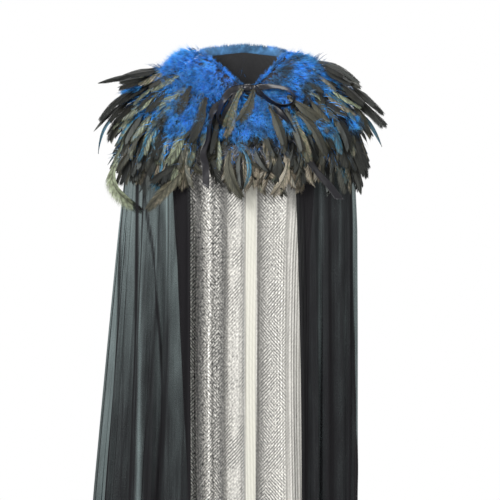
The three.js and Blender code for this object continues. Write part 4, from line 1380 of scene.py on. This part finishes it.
def inner_stand(across, z):
    """How far the inner cloth stands out: just under the yoke's edge at its top, and set back below."""
    below = ease((YOKE_EDGE - z - INNER_DEPTH["start_below"]) / INNER_DEPTH["back_after"])
    fold = np.zeros(np.broadcast(across, z).shape)
    for row in INNER_FOLDS:
        shown = 0.4 if row["at"] > 100 else 1.0
        beside = (across * 1000 - row["at"]) / row["wide"]
        fold = fold + shown * row["deep"] / 1000 * np.exp(-(beside**2))
    grown = mix(INNER_GROWTH["at_top"], 1, np.clip((YOKE_EDGE - z) / INNER_GROWTH["full_after"], 0, 1))
    return mix(INNER_TOP, fold * grown - INNER_DEPTH["set_back"], below)


def inner_points(left, right, columns, rows, moved):
    """A grid on the inner cloth between two places across it, moved out by a distance."""
    z = np.linspace(CLOTH_TOP, INNER_BOTTOM, rows)[None, :]
    part = np.clip(crease_part(z), 0, 1)
    left = left + (INNER_SLANT * part if left < -0.1 else 0)
    across = mix(left, right, np.linspace(0, 1, columns)[:, None])
    sway = 0.0022 * np.sin(across * 60 + z * 5) * ease((YOKE_EDGE - z) / 0.6)
    crinkle = 0.0006 * np.sin(across * 900 + 3 * np.sin(z * 7)) * ease((YOKE_EDGE - z) / 0.3)
    lean = 0.0025 * np.sin(z * 4.2 + across * 20)
    edge = np.minimum(across - left, right - across)
    placed = across + lean * np.clip(edge / 0.02, 0, 1)
    stand = inner_stand(placed, z) + sway + crinkle
    points = hung_points(direction_at(across, z), z, stand + moved)
    return points, placed


def inner_looks(placed):
    """The looks of INNER_LOOK at places across, its painted light and shade among them."""
    at = np.array([row["at"] for row in INNER_LOOK]) / 1000
    looks = {}
    for key in ("light", "rising", "falling", "rough"):
        looks[key] = np.interp(placed, at, [row[key] for row in INNER_LOOK]).ravel()
    return looks


# Ribbon


def smooth_route(route, steps):
    """Points and turns along a smooth curve through a route's places, as the CAD part's curve runs."""
    corners = np.array(route, float)
    corners[:, :3] /= 1000
    places = corners[:, :3]
    ends = np.concatenate([[2 * places[0] - places[1]], places, [2 * places[-1] - places[-2]]])
    t = np.linspace(0, len(places) - 1, steps)
    segment = np.minimum(t.astype(int), len(places) - 2)
    part = (t - segment)[:, None]
    p0, p1, p2, p3 = (ends[segment + k] for k in range(4))

    def spacing(a, b):
        return np.maximum(np.linalg.norm(b - a, axis=-1, keepdims=True), 1e-6) ** 0.5

    d0, d1, d2 = spacing(p0, p1), spacing(p1, p2), spacing(p2, p3)
    m1 = ((p1 - p0) / d0 - (p2 - p0) / (d0 + d1) + (p2 - p1) / d1) * d1
    m2 = ((p2 - p1) / d1 - (p3 - p1) / (d1 + d2) + (p3 - p2) / d2) * d1
    points = p1 + m1 * part + (-3 * p1 + 3 * p2 - 2 * m1 - m2) * part**2
    points = points + (2 * p1 - 2 * p2 + m1 + m2) * part**3
    turn = np.radians(np.interp(t, np.arange(len(places)), corners[:, 3]))
    return points, turn


def ribbon_object(name, route):
    """A stretch of ribbon and its length: a thin closed band along its route, a little cupped across."""
    steps, across_steps = 90, 7
    points, turn = smooth_route(route, steps)
    tangent = unit(np.gradient(points, axis=0))
    outward = unit([0, -1.0, 0] + tangent * tangent[:, 1:2])
    flat = unit(np.cross(outward, tangent))
    wide = flat * np.cos(turn)[:, None] + outward * np.sin(turn)[:, None]
    thick = unit(np.cross(tangent, wide))
    places = np.linspace(-0.5, 0.5, across_steps)
    length = np.concatenate([[0], np.cumsum(np.linalg.norm(np.diff(points, axis=0), axis=-1))])
    cup = 0.0009 * (1 - (places * 2) ** 2)[None, :]
    cup = cup + 0.0004 * np.sin(length * 190)[:, None] * places[None, :] * 2
    slant = np.zeros((steps, across_steps))
    if "tail" in name:
        slant = ease((np.arange(steps) - steps * 0.93) / (steps * 0.07))[:, None] * places[None, :] * 0.012
    middle = points[:, None] + wide[:, None] * (places * RIBBON_WIDTH)[None, :, None]
    middle = middle + thick[:, None] * cup[..., None] + tangent[:, None] * slant[..., None]
    upper = middle + thick[:, None] * RIBBON_THICK / 2
    lower = middle - thick[:, None] * RIBBON_THICK / 2
    size = steps * across_steps
    top = grid_faces(steps, across_steps)
    low = grid_faces(steps, across_steps, size)[:, ::-1]
    rim = np.concatenate([
        np.arange(steps) * across_steps,
        (steps - 1) * across_steps + np.arange(1, across_steps),
        np.arange(steps - 2, -1, -1) * across_steps + across_steps - 1,
        np.arange(across_steps - 2, 0, -1),
    ])
    after = np.roll(rim, -1)
    side = np.stack([after, rim, rim + size, after + size], -1)
    uv = np.stack(np.broadcast_arrays(places[None, :] * RIBBON_WIDTH, length[:, None]), -1).reshape(-1, 2)
    both = np.concatenate([upper.reshape(-1, 3), lower.reshape(-1, 3)])
    made = mesh_object(name, both, np.concatenate([top, low, side]), uv=np.concatenate([uv, uv]))
    return made, float(length[-1])


def knot_object():
    """The knot: a soft lump of wrapped ribbon, with the grooves of its turns."""
    rings, sides = 25, 40
    along = np.linspace(-1, 1, rings)[:, None]
    angle = np.linspace(0, TURN, sides, endpoint=False)[None, :]
    size = (1 - np.abs(along) ** 3.2 * 0.28) * (1 - 0.05 * np.cos(along * 15) * np.abs(np.cos(angle * 0.5)))
    size = size * (1 + 0.04 * np.sin(angle * 3 + along * 2))
    x = KNOT["x"] + along * KNOT["half_wide"] * 0.97 + 0.6 * np.sin(angle * 2)
    y = KNOT["y"] + size * KNOT["half_deep"] * np.cos(angle)
    z = KNOT["z"] + size * KNOT["half_tall"] * np.sin(angle) + along * 0.8
    grid = np.stack(np.broadcast_arrays(x, y, z), -1) / 1000
    i, j = np.meshgrid(np.arange(rings - 1), np.arange(sides), indexing="ij")
    a = (i * sides + j).ravel()
    b = (i * sides + (j + 1) % sides).ravel()
    wall = np.stack([a, b, b + sides, a + sides], -1)
    reach = KNOT["half_wide"]
    ends = np.array([[KNOT["x"] + side, KNOT["y"], KNOT["z"]] for side in (-reach, reach)]) / 1000
    count = rings * sides
    ring = np.arange(sides)
    after = np.roll(ring, -1)
    last = (rings - 1) * sides
    first_fan = np.stack([after, ring, np.full(sides, count)], -1)
    last_fan = np.stack([ring + last, after + last, np.full(sides, count + 1)], -1)
    triangles = np.concatenate([wall[:, [0, 1, 2]], wall[:, [0, 2, 3]], first_fan, last_fan])
    uv = np.stack(np.broadcast_arrays(along * 0.009, angle * 0.008), -1).reshape(-1, 2)
    uv = np.concatenate([uv, [[0, 0], [0, 0]]])
    return mesh_object("ribbon_knot_wrapped", np.concatenate([grid.reshape(-1, 3), ends]), triangles, uv=uv)


# What a user can change


class CapeCollarSettings(bpy.types.PropertyGroup):
    """Sizes and colours of the yoke, its down and its feathers"""

    felt_colour: bpy.props.FloatVectorProperty(
        name="Felt Colour", description="Colour of the yoke's felt", subtype="COLOR", size=3,
        default=(0.026, 0.025, 0.027), min=0, max=1)
    down_colour: bpy.props.FloatVectorProperty(
        name="Down Colour", description="Colour of the down", subtype="COLOR", size=3,
        default=(0.026, 0.340, 1.0), min=0, max=1)
    # A lighter copy of the down's colour: painted light where the down shows between the feathers' shadows
    patch_lit_colour: bpy.props.FloatVectorProperty(
        name="Patch Colour", description="Colour of the down that breaks through the feathers",
        subtype="COLOR", size=3, default=(0.044, 0.420, 1.0), min=0, max=1)
    plush_colour: bpy.props.FloatVectorProperty(
        name="Plush Colour", description="Colour of the neck band at the back", subtype="COLOR", size=3,
        default=(0.178, 0.490, 0.940), min=0, max=1)
    tuft_size: bpy.props.FloatProperty(
        name="Tuft Size", description="Length of the largest tufts of down", default=0.021, unit="LENGTH")
    tuft_density: bpy.props.FloatProperty(
        name="Tuft Density", description="Tufts of down for each square metre", default=15000)
    seed: bpy.props.IntProperty(
        name="Seed", description="Start of the feathers' random differences", default=11)


class CapeSkirtSettings(bpy.types.PropertyGroup):
    """Colour and sheerness of the skirt"""

    colour: bpy.props.FloatVectorProperty(
        name="Tulle Colour", description="Colour of the tulle's threads", subtype="COLOR", size=3,
        default=(0.0095, 0.0088, 0.0102), min=0, max=1)
    passes: bpy.props.FloatProperty(
        name="Light Passed", description="Share of light that one layer of tulle lets through", default=0.45,
        subtype="FACTOR", min=0, max=1)


class CapeInnerSettings(bpy.types.PropertyGroup):
    """Colours of the pale inner cloth"""

    cloth_colour: bpy.props.FloatVectorProperty(
        name="Cloth Colour", description="Colour of the pale cloth", subtype="COLOR", size=3,
        default=(0.86, 0.84, 0.78), min=0, max=1)
    thread_colour: bpy.props.FloatVectorProperty(
        name="Thread Colour", description="Colour of the net's threads", subtype="COLOR", size=3,
        default=(0.10, 0.10, 0.10), min=0, max=1)
    band_colour: bpy.props.FloatVectorProperty(
        name="Band Colour", description="Colour of the plain edge band", subtype="COLOR", size=3,
        default=(0.62, 0.61, 0.54), min=0, max=1)


class CapeRibbonSettings(bpy.types.PropertyGroup):
    """Colour of the satin ribbon"""

    colour: bpy.props.FloatVectorProperty(
        name="Satin Colour", description="Colour of the ribbon", subtype="COLOR", size=3,
        default=(0.006, 0.0055, 0.008), min=0, max=1)


class CapeStageSettings(bpy.types.PropertyGroup):
    """Floor, light and camera"""

    floor_colour: bpy.props.FloatVectorProperty(
        name="Floor Colour", description="Colour of the floor", subtype="COLOR", size=3,
        default=(0.86, 0.86, 0.86), min=0, max=1)
    light: bpy.props.FloatProperty(
        name="Surrounding Light", description="Strength of the light from all round", default=0.60)
    camera_height: bpy.props.FloatProperty(
        name="Camera Height", description="Height of the camera above the neck", default=0.02, unit="LENGTH")
    camera_distance: bpy.props.FloatProperty(
        name="Camera Distance", description="Distance of the camera from the cape's front", default=4.2,
        unit="LENGTH")


class CAPE_OT_yoke(bpy.types.Operator):
    """Gives the yoke's felt pieces their finish"""

    bl_idname = "cape.yoke"
    bl_label = "Finish Yoke"

    def execute(self, context):
        material = felt_material(tuple(context.scene.cape_collar.felt_colour))
        for node in ("yoke_right_front", "yoke_back", "yoke_left_front"):
            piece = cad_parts[node]
            piece.data.materials.clear()
            piece.data.materials.append(material)
        return {"FINISHED"}


class CAPE_OT_neck_band(bpy.types.Operator):
    """Grows the fluffy band round the neck edge"""

    bl_idname = "cape.neck_band"
    bl_label = "Grow Neck Band"

    def execute(self, context):
        settings = context.scene.cape_collar
        material = down_material("pale_plush", tuple(settings.down_colour), tuple(settings.plush_colour))
        tuft = tuft_object(np.random.default_rng(settings.seed))
        core = band_ground(0.0)
        grown = grow_down("band_down", band_ground(0.8), tuft, BAND_TUFTS, material)
        bpy.data.objects.remove(tuft)
        # The core has no fibres, so its reach and tone stay 0, which paints it in the down's dark colours:
        # painted shade under the band
        core.data.attributes.new("reach", "FLOAT", "POINT")
        core.data.attributes.new("tone", "FLOAT", "POINT")
        band = join_objects("neck_band_down", [grown, core])
        finish_piece(band, ["neck_band"], material)
        return {"FINISHED"}


class CAPE_OT_feathers(bpy.types.Operator):
    """Makes the five rows of feather trim, the single feathers and the down under them"""

    bl_idname = "cape.feathers"
    bl_label = "Make Feathers"

    def execute(self, context):
        settings = context.scene.cape_collar
        down_colour = tuple(settings.down_colour)
        patch_lit_colour = tuple(settings.patch_lit_colour)
        down = down_material("blue_down", down_colour, down_colour)
        # The patches' down is a lighter, less dull copy of the down: painted light against the feathers'
        # shadows
        lit_down = down_material("lit_copy_of_down", patch_lit_colour, patch_lit_colour, dullness=0.4)
        feathers = feather_material(down_colour)
        tuft = tuft_object(np.random.default_rng(settings.seed + 1))
        size = settings.tuft_size
        for index, row in enumerate(FEATHER_ROWS):
            rng = np.random.default_rng(settings.seed * 100 + index)
            made = feather_object(f"feathers_row_{index + 1}", row_feathers(row, index, rng), rng)
            finish_piece(made, [f"feather_row_{index + 1}"], feathers)
            values = {
                "Density": settings.tuft_density * (ROW_TUFTS["denser_at_top"] if index == 0 else 1),
                "Smallest": size * ROW_TUFTS["smallest"],
                "Largest": size,
                "Spread": ROW_TUFTS["spread"],
                "Seed": index,
            }
            bed = grow_down(f"down_row_{index + 1}", row_ground(row, index), tuft, values, down)
            finish_piece(bed, [f"feather_row_{index + 1}"], down)
        values = {
            "Density": PATCH_TUFTS["density"],
            "Smallest": size * PATCH_TUFTS["smallest"],
            "Largest": size,
            "Spread": PATCH_TUFTS["spread"],
            "Seed": PATCH_TUFTS["seed"],
        }
        patches = grow_down("down_patches", patch_grounds(), tuft, values, lit_down)
        finish_piece(patches, ["feather_row_3"], lit_down)
        rng = np.random.default_rng(settings.seed * 100 + 9)
        placed = single_feathers(rng)
        single = feather_object("feathers_single", placed, rng, barbs=SINGLE_BARBS, streaky=0.55)
        finish_piece(single, ["feather_row_2"], feathers)
        bpy.data.objects.remove(tuft)
        return {"FINISHED"}


class CAPE_OT_skirt(bpy.types.Operator):
    """Hangs the three gathered panels of the sheer skirt"""

    bl_idname = "cape.skirt"
    bl_label = "Hang Skirt"

    def execute(self, context):
        settings = context.scene.cape_skirt
        material = tulle_material(tuple(settings.colour), settings.passes)
        for index, name in enumerate(SKIRT_PANELS):
            points, layers = build_skirt_panel(name, np.random.default_rng(40 + index))
            uv = grid_uv(points).reshape(-1, 2)
            faces = grid_faces(*points.shape[:2])
            made = mesh_object(f"tulle_{name}", points, faces, {"layers": layers.ravel()}, uv)
            finish_piece(made, [f"skirt_{name}"], material)
        return {"FINISHED"}


class CAPE_OT_inner_cloth(bpy.types.Operator):
    """Hangs the pale inner fronts and their plain edge band"""

    bl_idname = "cape.inner_cloth"
    bl_label = "Hang Inner Cloth"

    def execute(self, context):
        settings = context.scene.cape_inner
        net = net_material(tuple(settings.cloth_colour), tuple(settings.thread_colour))
        cotton = cotton_material(tuple(settings.band_colour))
        panels = {
            "left": (INNER["left"], INNER["meet"] - 0.0003, "yoke_left_front"),
            "right": (INNER["meet"] + 0.0003, INNER["right"], "yoke_right_front"),
        }
        columns, rows = INNER_GRID["columns"], INNER_GRID["rows"]
        for side, (left, right, yoke) in panels.items():
            points, placed = inner_points(left, right, columns, rows, 0.0)
            uv = grid_uv(points).reshape(-1, 2)
            faces = grid_faces(columns, rows)[:, ::-1]
            made = mesh_object(f"net_{side}", points, faces, inner_looks(placed), uv)
            finish_piece(made, [f"inner_{side}"], net)
        points, _ = inner_points(*EDGE_BAND, EDGE_BAND_COLUMNS, rows, EDGE_BAND_RAISED)
        uv = grid_uv(points).reshape(-1, 2)
        made = mesh_object("edge_band_cotton", points, grid_faces(EDGE_BAND_COLUMNS, rows)[:, ::-1], uv=uv)
        finish_piece(made, ["inner_edge_band"], cotton)
        return {"FINISHED"}


class CAPE_OT_ribbon(bpy.types.Operator):
    """Ties the satin ribbon's bow"""

    bl_idname = "cape.ribbon"
    bl_label = "Tie Ribbon"

    def execute(self, context):
        material = satin_material(tuple(context.scene.cape_ribbon.colour))
        finish_piece(knot_object(), ["ribbon_knot"], material)
        for node, route in RIBBON_ROUTES.items():
            made, length = ribbon_object(node.replace("ribbon_", "ribbon_satin_"), route)
            finish_piece(made, [node], material)
        return {"FINISHED"}


class CAPE_OT_stage(bpy.types.Operator):
    """Sets up the floor, the light and the camera"""

    bl_idname = "cape.stage"
    bl_label = "Set Up Stage"

    def execute(self, context):
        settings = context.scene.cape_stage
        add_floor(tuple(settings.floor_colour))
        add_light(settings.light)
        add_camera(settings.camera_height, settings.camera_distance)
        return {"FINISHED"}


def add_floor(colour):
    """A round floor a little below the hem."""
    radius, sides, height = FLOOR["radius"], FLOOR["sides"], HEM_Z - FLOOR["below_hem"]
    angle = np.linspace(0, TURN, sides, endpoint=False)
    rim = np.stack([np.cos(angle) * radius, np.sin(angle) * radius, np.full(sides, height)], -1)
    points = np.concatenate([rim, [[0, 0, height]]])
    faces = np.stack([np.arange(sides), np.roll(np.arange(sides), -1), np.full(sides, sides)], -1)
    floor = mesh_object("floor", points, faces)
    floor.data.materials.append(stage_material(colour))


def add_light(strength):
    """Even light from all round, and soft lights from the upper left, the right and above."""
    world = bpy.data.worlds.new("studio")
    bpy.context.scene.world = world
    world.use_nodes = True
    tree = world.node_tree
    background = tree.nodes["Background"]
    background.inputs["Color"].default_value = (1, 1, 1, 1)
    seen = put(tree, "ShaderNodeLightPath").outputs["Is Camera Ray"]
    tree.links.new(remap(tree, seen, 0, 1, strength, 1.0), background.inputs["Strength"])
    for light in LIGHTS:
        data = bpy.data.lights.new(light["name"], "AREA")
        data.size = light["size"]
        data.energy = light["power"]
        lamp = bpy.data.objects.new(light["name"], data)
        bpy.context.scene.collection.objects.link(lamp)
        lamp.location = light["at"]
        aim = Vector(LIT_PLACE) - lamp.location
        lamp.rotation_euler = aim.to_track_quat("-Z", "Y").to_euler()
    bpy.context.scene.view_settings.view_transform = "Standard"


def add_camera(height, distance):
    """A camera that looks as the photo does: level with the neck and from far away."""
    across, front, _ = VIEW["middle"]
    data = bpy.data.cameras.new("camera")
    data.sensor_width = VIEW["sensor"]
    camera = bpy.data.objects.new("camera", data)
    bpy.context.scene.collection.objects.link(camera)
    camera.location = (across, front - distance, height)
    aim = Vector(VIEW["middle"]) - camera.location
    data.lens = VIEW["sensor"] * aim.length / VIEW["width"]
    camera.rotation_euler = aim.to_track_quat("-Z", "Y").to_euler()
    bpy.context.scene.camera = camera


class CAPE_PT_panel(bpy.types.Panel):
    """Lists the cape's pieces and their settings"""

    bl_idname = "CAPE_PT_panel"
    bl_label = "Feather Cape"
    bl_space_type = "VIEW_3D"
    bl_region_type = "UI"
    bl_category = "Cape"

    def draw(self, context):
        for attribute_name, operators in PANEL_ROWS:
            box = self.layout.box()
            settings = getattr(context.scene, attribute_name)
            for key in settings.__annotations__:
                box.prop(settings, key)
            for operator in operators:
                box.operator(operator)


PANEL_ROWS = (
    ("cape_collar", ("cape.yoke", "cape.neck_band", "cape.feathers")),
    ("cape_skirt", ("cape.skirt",)),
    ("cape_inner", ("cape.inner_cloth",)),
    ("cape_ribbon", ("cape.ribbon",)),
    ("cape_stage", ("cape.stage",)),
)
SETTINGS = {
    "cape_collar": CapeCollarSettings,
    "cape_skirt": CapeSkirtSettings,
    "cape_inner": CapeInnerSettings,
    "cape_ribbon": CapeRibbonSettings,
    "cape_stage": CapeStageSettings,
}
OPERATORS = (
    CAPE_OT_yoke, CAPE_OT_neck_band, CAPE_OT_feathers, CAPE_OT_skirt, CAPE_OT_inner_cloth, CAPE_OT_ribbon,
    CAPE_OT_stage,
)


def register():
    for settings in SETTINGS.values():
        bpy.utils.register_class(settings)
    for operator in OPERATORS:
        bpy.utils.register_class(operator)
    bpy.utils.register_class(CAPE_PT_panel)
    for name, settings in SETTINGS.items():
        setattr(bpy.types.Scene, name, bpy.props.PointerProperty(type=settings))


def unregister():
    for name in SETTINGS:
        delattr(bpy.types.Scene, name)
    bpy.utils.unregister_class(CAPE_PT_panel)
    for operator in reversed(OPERATORS):
        bpy.utils.unregister_class(operator)
    for settings in reversed(SETTINGS.values()):
        bpy.utils.unregister_class(settings)


def main():
    register()
    bpy.ops.cape.yoke()
    bpy.ops.cape.neck_band()
    bpy.ops.cape.feathers()
    bpy.ops.cape.skirt()
    bpy.ops.cape.inner_cloth()
    bpy.ops.cape.ribbon()
    bpy.ops.cape.stage()


if __name__ == "__main__":
    main()
